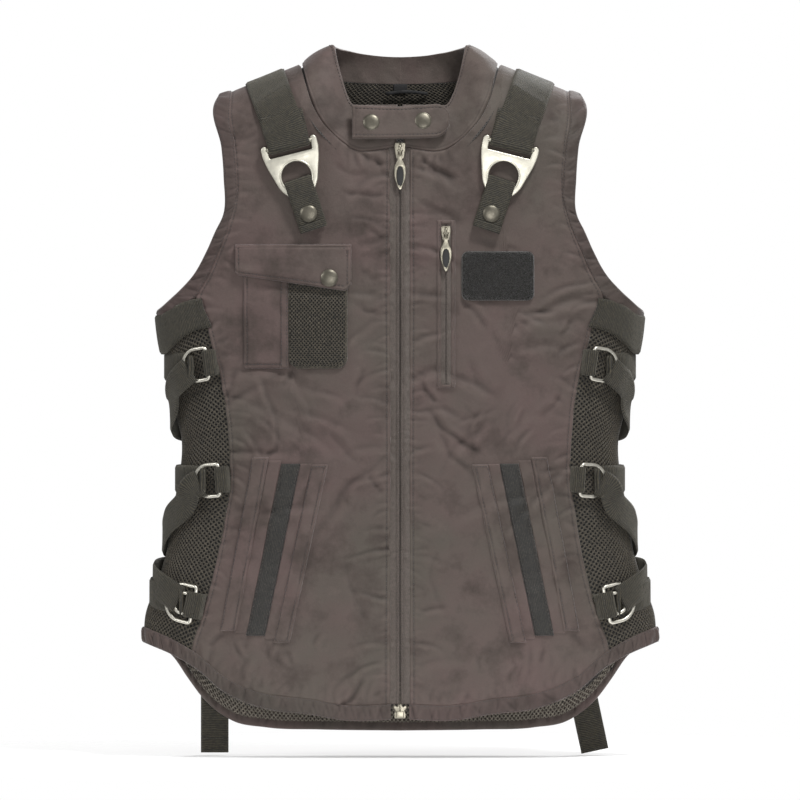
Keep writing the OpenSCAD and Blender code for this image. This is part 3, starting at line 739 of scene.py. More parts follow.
SHELL = shell_material()
BAND = shell_material("shell_band", 0.75)
WEBBING = webbing_material()
TAPE = tape_material()
MESH = mesh_material("spacer_mesh")
MESH_BACK = mesh_material("spacer_backing", (0.003, 0.003, 0.003), (0.008, 0.007, 0.006))
# the hem net's threads are paler than the spacer mesh's: partly their own light colour, partly painted light
# that lifts them out of the shade under the front hem
HEM_NET_PAINTED_LIGHT = mesh_material("hem_net_painted_light", (0.05, 0.044, 0.035), (0.36, 0.32, 0.26))
LINING = lining_material()
PILE = pile_material()
ELASTIC = elastic_material()
CAST = metal_material("cast_buckle", (0.80, 0.77, 0.66), 0.42, 0.2)
NICKEL = metal_material("ring_wire", (0.80, 0.77, 0.68), 0.34, 0.15)
ZIP_METAL = metal_material("zip_metal", (0.43, 0.40, 0.32), 0.34, 0.45)
GUNMETAL = metal_material("snap_metal", (0.195, 0.180, 0.145), 0.40, 0.3)
RUBBER = plain_material("pull_rubber", (0.012, 0.012, 0.012), 0.5)
LABEL = plain_material("label_tape", (0.018, 0.018, 0.019))
THREAD = plain_material("thread", (0.052, 0.042, 0.040), 0.5)
WEB_THREAD = plain_material("web_thread", (0.035, 0.031, 0.022), 0.5)

# ---------------------------------------------------------------- the fold line across the front corners
FOLD_FOOT = 380.0       # the fold starts on the zip at this height
FOLD_TOP = (44.0, 546.0)
FOLD_OUT, CHEST_Y = 10.0, -58.0


def fold_span(s):
    """Start and end of the blend across the fold line, for one side."""
    grow = np.array([-0.0403, -0.0325, 0.0107])     # rise of the weight, per millimetre
    across = unit(np.array([-(FOLD_TOP[1] - FOLD_FOOT), 0, FOLD_TOP[0]]))
    start = np.array([FOLD_TOP[0] / 2, CHEST_Y, (FOLD_FOOT + FOLD_TOP[1]) / 2]) - FOLD_OUT * across
    end = start + grow / np.dot(grow, grow)
    flip = mirror(s)
    return tuple(start * flip * MM), tuple(end * flip * MM)


def side_name(s):
    return "left" if s > 0 else "right"


def stands_for(nodes):
    if nodes:
        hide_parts(*nodes)


def rides(obj, body_name, slot, *nodes):
    """The piece moves with one body; nodes are the CAD solids it takes the place of."""
    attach(obj, body_name)
    stands_for(nodes)


def folds(obj, s, slot, *nodes):
    """Bakes the piece's transform and hides the CAD solids it stands for; the fold span of side s is worked
    out but not applied.
    """
    start, end = fold_span(s)
    "collar_" + side_name(s)
    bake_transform(obj)
    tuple(start)
    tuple(end)
    stands_for(nodes)


# ---------------------------------------------------------------- the shell
stitch_vest = Thread()
stitch_front = {LEFT: Thread(), RIGHT: Thread()}


def under_band(z):
    """Side edge of the panels: it runs further in under the armhole bands."""
    return seam_x(z) + 1.0 + 2.8 * smooth((z - 403) / 12)


def front_f(s, inset=0.0):
    def f(u, v, o):
        x0 = between(ZIP_HALF - 1.0, 150, v)
        low = front_hem(between(ZIP_HALF - 1.0, 185, v)) + BAND_W - 1.0 + inset
        top = np.where(x0 < NECK_HALF, neck_z(np.minimum(x0, NECK_HALF)) - inset, ridge_z(x0))
        q = between(-z_to_q(x0, low), 0.5 * smooth((x0 - 80) / 8) - z_to_q(x0, top), u)
        x = between(ZIP_HALF - 1.3 + inset, under_band(q_to_z(x0, q)) - inset, v)
        return surf(s * x, level_q(x0, x, q), o)
    return f


def back_f(inset=0.0):
    def f(u, v, o):
        w = 2 * v - 1
        x0 = 150 * w
        low = back_hem(185 * np.abs(w)) + BAND_W - 1.0 + inset
        nx = np.minimum(1, np.abs(x0) / NECK_HALF)
        top = np.where(np.abs(x0) < NECK_HALF, SHOULDER_Z - NECK_DROP * np.sqrt(1 - nx ** 2) - inset,
                       ridge_z(x0))
        q = between(z_to_q(x0, low), z_to_q(x0, top) - 0.5 * smooth((np.abs(x0) - 80) / 8), u)
        x = w * (under_band(q_to_z(x0, q)) - inset)
        return surf(x, level_q(x0, x, q), o)
    return f


def row_on(f, u, v, o=0.15):
    """Points and normals along a line in a surface's own coordinates."""
    p = f(u, v, o)
    n = unit(f(u, v, np.asarray(o) + 1.0) - p)
    return p, n


GRID = 1.7


def build_shell():
    for s in (LEFT, RIGHT):
        name = side_name(s)
        f = front_f(s)
        grooves = (("v", 3.6, 0.5), ("v", 146.0, 0.4))
        panel = pad("shell_front_" + name, f, (560, 150), GRID, -SHELL_T, 0.0, SHELL, 2.2, grooves)
        folds(panel, s, "shell_nylon", "front_panel_" + name)
        t = np.linspace(0.002, 0.998, 500)
        stitch_front[s].along(f, t, 3.6 / 150, -0.35)
        t = np.linspace(0.0, 1, 500)
        stitch_vest.along(f, t, 146.0 / 150, -0.3)
        lining = pad("lining_front_" + name, front_f(s, 4.0), (560, 150), 9.0, -SHELL_T - 2.4,
                     -SHELL_T - 1.2, LINING)
        folds(lining, s, "spacer_mesh", "front_lining_" + name)
    back = pad("shell_back", back_f(), (590, 330), GRID * 1.5, -SHELL_T, 0.0, SHELL, 2.2,
               (("v", 4.0, 0.4), ("v", 326.0, 0.4)))
    rides(back, "vest", "shell_nylon", "back_panel")
    lining = pad("lining_back", back_f(4.0), (590, 330), 9.0, -SHELL_T - 2.4, -SHELL_T - 1.2, LINING)
    rides(lining, "vest", "spacer_mesh", "back_lining")
    t = np.linspace(0.0, 1, 500)
    for v in (4.0 / 330, 326.0 / 330):
        stitch_vest.along(back_f(), t, v, -0.3)


def band_ripple(d, w, seed, pitch=9.0, height=0.8):
    """Puckers across a narrow band, with narrow valleys: d runs along it, w across from 0 to 1."""
    r = np.random.default_rng(seed)
    total = np.zeros(np.broadcast(d, w).shape)
    for _ in range(4):
        k = math.pi / (pitch * r.uniform(0.8, 2.2))
        phase = k * d + r.uniform(-1.3, 1.3) * w + 1.2 * np.sin(d / 31.0 + r.uniform(0, 6.28))
        strength = 0.55 + 0.45 * np.sin(d / r.uniform(24, 60) + r.uniform(0, 6.28))
        total = total + 0.35 * np.sin(2 * phase) - 1.1 * strength * np.exp(-(np.sin(phase) / 0.2) ** 2)
    return 0.5 * height * total * np.sin(np.pi * np.clip(w, 0, 1)) ** 0.5


def armhole_path():
    """Inner and outer edges of the armhole, as smooth closed rows of (x, z) and the side of y."""
    e, i = np.array(ARM_EDGE, float), np.array(ARM_INNER, float)
    d = travel(e)
    at = np.linspace(0, d[-1], 170)
    curves = [outline(list(zip(d, c))) for c in (e[:, 0], e[:, 1], i[:, 0], i[:, 1])]
    half = np.stack([c(at) for c in curves], 1)
    rows = np.concatenate([half, half[::-1]])
    sign = np.concatenate([-np.ones(len(half)), np.ones(len(half))])
    return rows, sign


def build_armholes():
    rows, sign = armhole_path()
    cols = 13
    w = np.linspace(0, 1, cols)
    for s in (LEFT, RIGHT):
        x = rows[:, 2, None] + (rows[:, 0] - rows[:, 2])[:, None] * w
        z = rows[:, 3, None] + (rows[:, 1] - rows[:, 3])[:, None] * w
        drop = np.minimum(z, ridge_z(x) - 0.05)
        y = sign[:, None] * full_d(x, z) * np.sin(np.radians(np.minimum(90, z_to_q(x, drop))))
        p = np.stack([s * x, y, z], -1)
        p = (p + np.roll(p, 1, 0) + np.roll(p, -1, 0)) / 3
        n = grid_normals(p, True)
        n = n * np.sign((n * p * np.array([1, 4, 0])).sum(-1).mean())
        n = unit(n + np.roll(n, 1, 0) + np.roll(n, -1, 0) + np.roll(n, 2, 0) + np.roll(n, -2, 0))
        d = lengths(p)[:, None]
        arch = crown(np.minimum(w, 1 - w) * BAND_W, 5.0)
        rise = 1.6 * arch + band_ripple(d, w[None, :], 40 + s, 10.5, 1.8)
        top = p + n * rise[..., None]
        low = p - n * (SHELL_T * (0.35 + 0.5 * arch))[None, :, None]
        band = sheet("armhole_band_" + side_name(s), top, low, BAND, loop=True)
        rides(band, "vest", "shell_nylon", "armhole_binding_" + side_name(s))
        for k in (1, 10):
            closed = np.concatenate([top[:, k], top[:1, k]])
            stitch_vest.row(closed, np.concatenate([n[:, k], n[:1, k]]), 3.2, 2.2)


def hem_grid(line, x0, x1, sgn, steps, cols, lo, hi, seed):
    """Outer and inner points of a hem band along a line z(x), and its normals; sgn is the side of y."""
    u, v = np.meshgrid(np.linspace(0, 1, steps), np.linspace(0, 1, cols), indexing="ij")
    t = np.sin(u * math.pi / 2) if x0 >= 0 else np.sin((u - 0.5) * math.pi) / 2 + 0.5
    x = between(x0, x1, t)
    z = line(np.abs(x)) + BAND_W * v
    k = smooth((np.abs(x) - 190) / 41)
    xx = x * (1 - k + k * half_w(z) / HEM_HALF)
    xx = np.sign(xx + 1e-9) * np.minimum(np.abs(xx), half_w(z) - 1e-9)
    y = full_d(xx, z)
    p = np.stack([xx, sgn * y, z], -1)
    n = grid_normals(p)
    n = n * np.sign((n * np.array([0, sgn, 0])).sum(-1).mean())
    d = lengths(p)[:, None]
    arch = crown(np.minimum(v, 1 - v) * BAND_W, 4.5)
    rise = hi * arch + band_ripple(d, v, seed, 11.5, 2.1)
    q = sgn * z_to_q(xx, z)
    follow = relief(xx, q) * v ** 2 * 0.8
    sink = lo * (0.3 + 0.7 * arch) - band_ripple(d, v, seed + 9, 11.5, 1.35)
    return p + n * (rise + follow)[..., None], p + n * (sink + follow)[..., None], n


def build_hems():
    for s in (LEFT, RIGHT):
        top, low, n = hem_grid(front_hem, ZIP_HALF - 1.3, HEM_HALF, -1, 260, 13, -SHELL_T, 1.5, 60 + s)
        flip = mirror(s)
        band = sheet("hem_front_" + side_name(s), top * flip, low * flip, BAND)
        rides(band, "vest", "shell_nylon", "front_hem_" + side_name(s))
        stitch_vest.row(top[:, 11] * flip, n[:, 11] * flip, 3.2, 2.2)
        stitch_vest.row(top[:, 1] * flip, n[:, 1] * flip, 3.2, 2.2)
    top, low, n = hem_grid(back_hem, -HEM_HALF, HEM_HALF, 1, 460, 11, -SHELL_T, 1.5, 71)
    band = sheet("hem_back", top, low, BAND)
    rides(band, "vest", "shell_nylon", "back_hem")
    stitch_vest.row(top[:, 9], n[:, 9], 3.2, 2.2)


# ---------------------------------------------------------------- the mesh sides
def mesh_lattice(name, f, size, pitch, material, depth=0.9, lift=0.35):
    """Diamond net with real holes over f(u, v, o): each hole is a ring of quads with walls."""
    nu, nv = int(size[0] / pitch[0]), int(size[1] / pitch[1])
    corner = np.array([(1, 0), (0.5, 0.5), (0, 1), (-0.5, 0.5), (-1, 0), (-0.5, -0.5), (0, -1),
                       (0.5, -0.5)]) * 0.5
    inner = corner * np.array([0.56, 0.70] * 4)[:, None]
    cells = []
    for i in range(nu):
        for j in range(nv):
            cells.append((i + 0.5, j + 0.5))
    for i in range(nu + 1):
        for j in range(nv + 1):
            cells.append((i, j))
    c = np.array(cells, float)
    uv = c[:, None, :] + np.concatenate([corner, inner, inner])[None]
    uv = np.clip(uv / np.array([nu, nv]), 0, 1)
    o = np.concatenate([np.full(8, lift), np.zeros(8), np.full(8, -depth)])
    p = f(uv[..., 0], uv[..., 1], np.broadcast_to(o, uv.shape[:2]))
    faces = []
    for k in range(len(c)):
        b = 24 * k
        for m in range(8):
            e = (m + 1) % 8
            faces.append((b + m, b + e, b + 8 + e, b + 8 + m))
            faces.append((b + 8 + m, b + 8 + e, b + 16 + e, b + 16 + m))
    obj = new_object(name, p.reshape(-1, 3), faces, material)
    bm = bmesh.new()
    bm.from_mesh(obj.data)
    bmesh.ops.remove_doubles(bm, verts=bm.verts, dist=0.03 * MM)
    bmesh.ops.dissolve_degenerate(bm, dist=0.02 * MM, edges=bm.edges)
    bmesh.ops.recalc_face_normals(bm, faces=bm.faces)
    bm.to_mesh(obj.data)
    bm.free()
    return obj


def side_f(s):
    def f(u, v, o):
        k = 1 - np.abs(2 * v - 1)
        x = side_x(side_t(seam_x(90) - 0.5, 90) * np.abs(2 * v - 1), 90)
        low = np.where(v < 0.5, front_hem(x), back_hem(x)) + 7.0
        z = between(low, 414 - 26 * smooth(k * 1.6), u)
        tf = side_t(seam_x(z) - 0.5, z)
        return side(s, between(-tf, tf, v), z, o - 1.6)
    return f


def build_sides():
    for s in (LEFT, RIGHT):
        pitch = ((4.2, 3.5))
        net = mesh_lattice("side_mesh_" + side_name(s), side_f(s), (300, 132), pitch, MESH)
        rides(net, "vest", "spacer_mesh", "side_mesh_" + side_name(s))
        f = side_f(s)
        back = pad("side_backing_" + side_name(s), f, (300, 132), 8.0, -1.9, -1.0, MESH_BACK)
        rides(back, "vest", "spacer_mesh")


def build_hem_net():
    """The net lining that shows between the front and back hems."""
    def f(u, v, o):
        x = between(-205.0, 205.0, u)
        z = back_hem(np.abs(x)) + between(7.5, BAND_W + 30, v)
        q = z_to_q(x, z)
        return surf(x, q, -SHELL_T - 2.6 - o, 0.5)
    net = mesh_lattice("hem_net", f, (470, 32), (4.2, 3.6), HEM_NET_PAINTED_LIGHT)
    rides(net, "vest", "spacer_mesh")


# ---------------------------------------------------------------- frames and hard parts
class Place:
    """A local frame in millimetres; mirror turns it into its twin on the other side."""

    def __init__(self, origin, x, y, z, mirror=False):
        self.origin, self.x, self.y, self.z = (np.asarray(a, float) for a in (origin, x, y, z))
        self.flip = np.array([-1.0, 1, 1]) if mirror else np.ones(3)

    def __call__(self, p):
        p = np.asarray(p, float)
        out = self.origin + p[..., :1] * self.x + p[..., 1:2] * self.y + p[..., 2:3] * self.z
        return out * self.flip

    def direction(self, p):
        p = np.asarray(p, float)
        return (p[..., :1] * self.x + p[..., 1:2] * self.y + p[..., 2:3] * self.z) * self.flip

    def moved(self, dx=0.0, dy=0.0, dz=0.0):
        return Place(self.origin + dx * self.x + dy * self.y + dz * self.z, self.x, self.y, self.z,
                     self.flip[0] < 0)


def on_front(x, z, lift=0.0, tilt=0.0, mirror=False):
    q = -z_to_q(x, z)
    n = body_normal(x, q)
    right = unit(np.array([-n[1], n[0], 0]))
    up = np.cross(n, right)
    t = math.radians(tilt)
    return Place(surf(x, q, lift, 0), right * math.cos(t) + up * math.sin(t),
                 up * math.cos(t) - right * math.sin(t), n, mirror)


def buckle_place(s):
    return on_front(92.0, 519.0, 5.2, -18.0, s < 0)


def ring_place(s, x, z, tilt, lift=5.0):
    t = -side_t(x, z)
    n = unit(side(1, t, z, 1.0) - side(1, t, z, 0.0))
    right, up = np.array([-n[1], n[0], 0]), np.array([0.0, 0, 1])
    a = math.radians(tilt)
    return Place(side(1, t, z, lift), right * math.cos(a) + up * math.sin(a),
                 up * math.cos(a) - right * math.sin(a), n, s < 0)


def bm_object(name, bm, place, material):
    """An object from a bmesh drawn in a place's own frame."""
    bmesh.ops.recalc_face_normals(bm, faces=bm.faces)
    mesh = bpy.data.meshes.new(name)
    bm.to_mesh(mesh)
    bm.free()
    co = np.empty(len(mesh.vertices) * 3)
    mesh.vertices.foreach_get("co", co)
    mesh.vertices.foreach_set("co", (place(co.reshape(-1, 3)) * MM).ravel())
    if place.flip[0] < 0:
        mesh.flip_normals()
    mesh.update()
    return add_object(name, mesh, material)


def rounded_loop(points, radii, steps=7):
    """A closed outline with its corners rounded; radii may be one number."""
    pts = np.array(points, float)
    radii = np.broadcast_to(radii, len(pts))
    out = []
    for k, p in enumerate(pts):
        a, b = pts[k - 1], pts[(k + 1) % len(pts)]
        da, db = unit(a - p), unit(b - p)
        reach = min(radii[k], 0.48 * np.linalg.norm(a - p), 0.48 * np.linalg.norm(b - p))
        p0, p1 = p + da * reach, p + db * reach
        for t in np.linspace(0, 1, steps):
            out.append((1 - t) ** 2 * p0 + 2 * t * (1 - t) * p + t * t * p1)
    return np.array(out)


def circle(r, cx=0.0, cy=0.0, steps=64, ry=None):
    t = np.linspace(0, 2 * math.pi, steps, endpoint=False)
    return np.stack([cx + r * np.cos(t), cy + (ry or r) * np.sin(t)], 1)


def plate_mesh(outer, holes, thick, bevel):
    """A flat plate with holes and rounded edges, centred on z = 0, as a bmesh."""
    curve = bpy.data.curves.new("outline", "CURVE")
    curve.dimensions, curve.fill_mode = "2D", "BOTH"
    curve.extrude, curve.bevel_depth, curve.bevel_resolution = thick / 2 - bevel, bevel, 3
    curve.offset = -bevel
    for loop in [outer] + list(holes):
        spline = curve.splines.new("POLY")
        spline.points.add(len(loop) - 1)
        spline.points.foreach_set("co", np.column_stack(
            [loop, np.zeros(len(loop)), np.ones(len(loop))]).ravel())
        spline.use_cyclic_u = True
    obj = bpy.data.objects.new("outline", curve)
    mesh = bpy.data.meshes.new_from_object(obj)
    bm = bmesh.new()
    bm.from_mesh(mesh)
    bmesh.ops.remove_doubles(bm, verts=bm.verts, dist=0.02)
    bpy.data.objects.remove(obj)
    bpy.data.curves.remove(curve)
    bpy.data.meshes.remove(mesh)
    return bm


def join_bm(parts):
    """One bmesh from several (mesh, offset) pairs."""
    out = bmesh.new()
    for bm, offset in parts:
        mesh = bpy.data.meshes.new("part")
        for v in bm.verts:
            v.co += Vector(offset)
        bm.to_mesh(mesh)
        bm.free()
        out.from_mesh(mesh)
        bpy.data.meshes.remove(mesh)
    return out


def lathe_mesh(profile, steps=56):
    """A solid of revolution about z from (r, z) points, closed on the axis at both ends."""
    bm = bmesh.new()
    rings = []
    for r, z in profile:
        if r <= 1e-6:
            rings.append([bm.verts.new((0, 0, z))])
        else:
            rings.append([bm.verts.new((r * math.cos(2 * math.pi * k / steps),
                                        r * math.sin(2 * math.pi * k / steps), z))
                          for k in range(steps)])
    for a, b in zip(rings[:-1], rings[1:]):
        for k in range(steps):
            m = (k + 1) % steps
            loop = [a[k % len(a)], a[m % len(a)], b[m % len(b)], b[k % len(b)]]
            loop = [v for i, v in enumerate(loop) if v not in loop[:i]]
            bm.faces.new(loop)
    return bm


def tube_mesh(path, r, closed=False, steps=14):
    """Wire of radius r along a path of points."""
    p = np.asarray(path, float)
    n = len(p)
    bm = bmesh.new()
    rings, up = [], np.array([0.12, 0.07, 1.0])
    for k in range(n):
        a = p[k - 1] if (closed or k) else p[k]
        b = p[(k + 1) % n] if (closed or k < n - 1) else p[k]
        t = unit(b - a)
        w = unit(np.cross(t, up))
        up = np.cross(w, t)
        rings.append([bm.verts.new(p[k] + r * (math.cos(m) * w + math.sin(m) * up))
                      for m in np.linspace(0, 2 * math.pi, steps, endpoint=False)])
    for k in range(n if closed else n - 1):
        a, b = rings[k], rings[(k + 1) % n]
        for m in range(steps):
            e = (m + 1) % steps
            bm.faces.new([a[m], a[e], b[e], b[m]])
    if not closed:
        bm.faces.new(rings[0][::-1])
        bm.faces.new(rings[-1])
    return bm


def box_mesh(w, d, h, centre=(0, 0, 0), bevel=0.35):
    """A small machined block with rounded edges."""
    bm = bmesh.new()
    bmesh.ops.create_cube(bm, size=1.0)
    for v in bm.verts:
        v.co = Vector((v.co.x * w + centre[0], v.co.y * d + centre[1], v.co.z * h + centre[2]))
    bmesh.ops.bevel(bm, geom=bm.edges[:] + bm.verts[:], offset=bevel, segments=3, profile=0.6,
                    affect="EDGES")
    return bm


def cap_mesh(r, z0):
    """A snap's cap: rolled rim and a low dome."""
    rim = [(0, z0), (r - 0.5, z0), (r, z0 + 0.35), (r - 0.05, z0 + 0.8), (r - 0.35, z0 + 1.0)]
    dome = [(0.93 * r * math.cos(t), z0 + 0.8 + 1.75 * math.sin(t))
            for t in np.radians(np.linspace(8, 90, 12))]
    dome[-1] = (0, dome[-1][1])
    return lathe_mesh(rim + dome)


# ---------------------------------------------------------------- zips
def zip_profile(x):
    """Height of the tape across one half: centre groove, coil bead, flat tape."""
    bead = 0.75 * np.exp(-((x - 1.9) / 0.85) ** 2)
    return -1.15 + bead - 0.5 * np.exp(-((x - 3.9) / 0.6) ** 2) - 0.7 * np.exp(-(x / 0.6) ** 2)


def build_main_zip():
    cols = np.array([0.25, 0.6, 1.0, 1.4, 1.9, 2.4, 2.9, 3.4, 3.9, 4.5, 5.2, 6.2, 7.4, 8.6, 9.9])
    z = np.linspace(46.5, 545, 420)
    for s in (LEFT, RIGHT):
        x = np.broadcast_to(cols, (len(z), len(cols)))
        zz = np.broadcast_to(z[:, None], x.shape)
        wobble = 0.12 * np.sin(zz / 3.1 + x) + 0.25 * np.sin(zz / 23.0 + s)
        top = front(x, zz, zip_profile(x) + wobble, 0.7) * mirror(s)
        low = front(x, zz, -3.6 + 0 * x, 0.7) * mirror(s)
        tape = sheet("zip_tape_cloth_" + side_name(s), top, low, TAPE)
        folds(tape, s, "zip_tape", "zip_tape_" + side_name(s))
        # the coil's turns show as small ridges beside the parting line
        teeth, ends = Thread(), np.array([0.5, 3.2])
        for at in np.arange(48, 544, 1.55):
            a = front(ends, at, -0.62, 0.7) * mirror(s)
            n = body_normal(ends, -z_to_q(ends, at))
            teeth.row(a, n * mirror(s), 2.5, 2.2, 0.36)
        coil = teeth.make("zip_coil_" + side_name(s), TAPE)
        folds(coil, s, "zip_tape")
    place = on_front(0.0, 40.0, -2.6)
    half = [(-5.0, -6.2), (-5.6, -2.0), (-4.0, 0.8), (-6.4, 3.4), (-5.2, 6.0), (-2.5, 4.2), (-1.2, 7.0)]
    crown_loop = rounded_loop([(-x, y) for x, y in half] + half[::-1], [1.2, 1, 0.6, 1, 1, 0.5, 1] * 2)
    box = join_bm([(plate_mesh(crown_loop, [], 3.4, 0.8), (0, 0, 1.5)),
                   (box_mesh(7.2, 6.4, 2.2, bevel=0.9), (0, -2.6, 3.3)),
                   (tube_mesh([(0, 0.6, 3.6), (0, 6.2, 2.8)], 1.0), (0, 0, 0))])
    rides(bm_object("zip_retainer_box", box, place, ZIP_METAL), "vest", "zip_metal", "zip_retainer")


def slider_mesh(w, h, z0, deep):
    """A zip slider: shield-shaped plates joined by a post, with a bridge on top."""
    shield = rounded_loop([(-w / 2, h / 2), (w / 2, h / 2), (w / 2, h * 0.05), (w * 0.34, -h / 2),
                           (-w * 0.34, -h / 2), (-w / 2, h * 0.05)], [1.6, 1.6, 2.5, 1.2, 1.2, 2.5])
    arch = [(0, y, z0 + 1.0 + 3.0 * max(0, 1 - (y / (h * 0.40)) ** 2) ** 0.5)
            for y in np.linspace(-h * 0.40, h * 0.40, 15)]
    parts = [(plate_mesh(shield, [], 1.4, 0.45), (0, 0, z0 + 0.7)),
             (tube_mesh(arch, 1.05), (0, 0, 0)),
             (lathe_mesh([(0, z0 + 1.2), (1.7, z0 + 1.2), (1.7, z0 + 1.9), (1.2, z0 + 2.3),
                          (0, z0 + 2.4)], 24), (0, h * 0.30, 0))]
    if deep:
        parts.append((plate_mesh(shield, [], 1.4, 0.45), (0, 0, -deep + 0.6)))
        parts.append((box_mesh(1.5, 2.6, deep, (0, h / 2 - 1.8, 0.3 - deep / 2), 0.3), (0, 0, 0)))
    return join_bm(parts)


def pull_mesh(length, w, z):
    """The pull: a neck over the pin, opening into an oval ring."""
    neck, end = 4.4, 10.0 + length
    left = [(-neck / 2, 1.6), (-neck / 2, -5.0), (-neck / 2 + 0.4, -7.6), (-w / 2, -14.5),
            (-w / 2, -end + 11.0), (-w * 0.12, -end)]
    outer = rounded_loop(left + [(-x, y) for x, y in left[::-1]],
                         [2, 2, 2, 7, 9, 1.5, 1.5, 9, 7, 2, 2, 2])
    hole = circle(w / 2 - 2.2, 0, -(12.6 + end) / 2 + 1.0, 48, (end - 12.6) / 2 - 2.4)
    slot = circle(1.1, 0, -2.2, 24, 2.6)
    pin = tube_mesh([(-2.7, 0, z), (2.7, 0, z)], 0.75)
    return join_bm([(plate_mesh(outer, [hole, slot], 1.9, 0.6), (0, 0, z + 0.1)), (pin, (0, 0, 0))])


def inlay_mesh(length, w, z):
    """Rubber set in the pull's opening, dished in the middle."""
    end = 10.0 + length
    hole = circle(w / 2 - 2.1, 0, -(12.6 + end) / 2 + 1.0, 48, (end - 12.6) / 2 - 2.3)
    return join_bm([(plate_mesh(hole, [], 1.2, 0.35), (0, 0, z + 0.1))])


def build_sliders():
    place = on_front(0.0, 542.0)
    obj = bm_object("zip_slider", slider_mesh(9.6, 14.5, 0.3, 5.0), place, ZIP_METAL)
    rides(obj, "main_slider", "zip_metal", "main_slider")
    obj = bm_object("zip_pull", pull_mesh(25, 10.5, 2.65), place, ZIP_METAL)
    rides(obj, "main_pull", "zip_metal", "main_pull")
    rides(bm_object("zip_pull_inlay", inlay_mesh(25, 10.5, 2.65), place, RUBBER), "main_pull", "zip_metal")
    place = on_front(41.0, 468.0, 1.6)
    obj = bm_object("chest_zip_slider", slider_mesh(8.6, 12.5, 0.1, 0), place, ZIP_METAL)
    rides(obj, "chest_slider", "zip_metal", "chest_slider")
    obj = bm_object("chest_zip_pull", pull_mesh(24, 10.2, 2.65), place, ZIP_METAL)
    rides(obj, "chest_pull", "zip_metal", "chest_pull")
    rides(bm_object("chest_pull_inlay", inlay_mesh(24, 10.2, 2.65), place, RUBBER), "chest_pull", "zip_metal")


# ---------------------------------------------------------------- pockets and patch
def flat_f(x0, x1, z0, z1, corner=0.0, top=False):
    """Surface over a rectangle of the front; corner rounds the bottom (and maybe top) corners."""
    def f(u, v, o):
        z = between(z0, z1, u)
        x = between(x0, x1, v)
        if corner:
            reach = np.clip(corner - (z - z0), 0, corner)
            if top:
                reach = np.maximum(reach, np.clip(corner - (z1 - z), 0, corner))
            cut = corner - np.sqrt(np.maximum(0, corner ** 2 - reach ** 2))
            mid = (x0 + x1) / 2
            x = mid + (x - mid) * (1 - cut / (abs(x1 - x0) / 2))
        return front(x, z, o)
    return f


def puff(height, p=0.8, wrinkles=0.0, seed=0, pitch=(14, 30)):
    """Extra loft in the middle of a padded piece, with small cross wrinkles."""
    r = np.random.default_rng(seed)
    waves = [(r.uniform(*pitch), r.uniform(-0.9, 0.9), r.uniform(0, 6.3)) for _ in range(5)]

    def extra(u, v):
        loft = height * (np.sin(np.pi * u) * np.sin(np.pi * v)) ** p
        for k, lean, phase in waves:
            loft = loft + wrinkles / 2.2 * np.sin(k * u + lean * 6 * v + phase)
        return loft
    return extra


def build_chest_pocket():
    f = flat_f(-140, -103.4, 347, 453, corner=3.0)
    body_left = pad("chest_pocket_plain", f, (106, 37), 1.6, 0.2, 2.7, SHELL, 2.2,
                    (("u", 4.0, 0.5), ("v", 3.5, 0.5)), puff(1.2, 0.8, 0.25, 5, (9, 20)))
    rides(body_left, "vest", "shell_nylon", "chest_pocket")
    f2 = flat_f(-107.2, -99.4, 347.2, 453)
    rib = pad("chest_pocket_seam", f2, (106, 7.8), 1.2, 0.4, 3.9, SHELL, 2.0, (),
              puff(0.4, 0.6, 0.3, 9, (25, 50)))
    rides(rib, "vest", "shell_nylon")
    t = np.linspace(0.02, 0.98, 90)
    for v in (0.2, 0.8):
        stitch_vest.along(f2, t, v, 4.2)
    t = np.linspace(0.03, 0.97, 90)
    stitch_vest.along(f, t, 3.5 / 37, 2.9)
    stitch_vest.along(f, 4.0 / 106, t, 2.8)
    # the mesh window: a net over a dark backing, with a narrow bound edge
    win = flat_f(-99.6, -48.2, 348, 424, corner=9.0)
    def swollen(u, v, o):
        loft = (np.sin(np.pi * np.clip(u, 0, 1)) * np.sin(np.pi * v)) ** 0.7
        return win(u, v, o + 2.6 + 2.2 * loft)
    net = mesh_lattice("pocket_net", swollen, (76, 51.4), (3.5, 3.1), MESH)
    rides(net, "vest", "spacer_mesh", "pocket_window")
    under = pad("pocket_net_backing", win, (76, 51.4), 4.0, 0.3, 1.6, MESH_BACK, 1.5, (), puff(1.6, 0.7))
    rides(under, "vest", "spacer_mesh")
    low_edge = win(0.004, np.linspace(0, 1, 60), 1.6)
    side_edge = win(np.linspace(0.004, 1.0, 80), 1.0, 1.6)
    path = resample(np.concatenate([low_edge, side_edge[1:]]), 1.2)
    bind = bm_object("pocket_window_edge", tube_mesh(path, 1.25, steps=10),
                     Place((0, 0, 0), (1, 0, 0), (0, 1, 0), (0, 0, 1)), MESH)
    rides(bind, "vest", "spacer_mesh")


def flap_f(u, v, o):
    low = between(431.0, 415.5, v)
    low = low + 6.5 * smooth((v - 0.93) / 0.07) ** 1.5 + 2.5 * smooth((0.03 - v) / 0.03)
    z = between(low, 456.0, u)
    bulge = 2.2 + 2.6 * np.sin(np.pi * np.clip(v, 0, 1)) * (1 - np.clip(u, 0, 1)) ** 0.7
    return front(between(-147.0, -43.5, v), z, o + bulge)


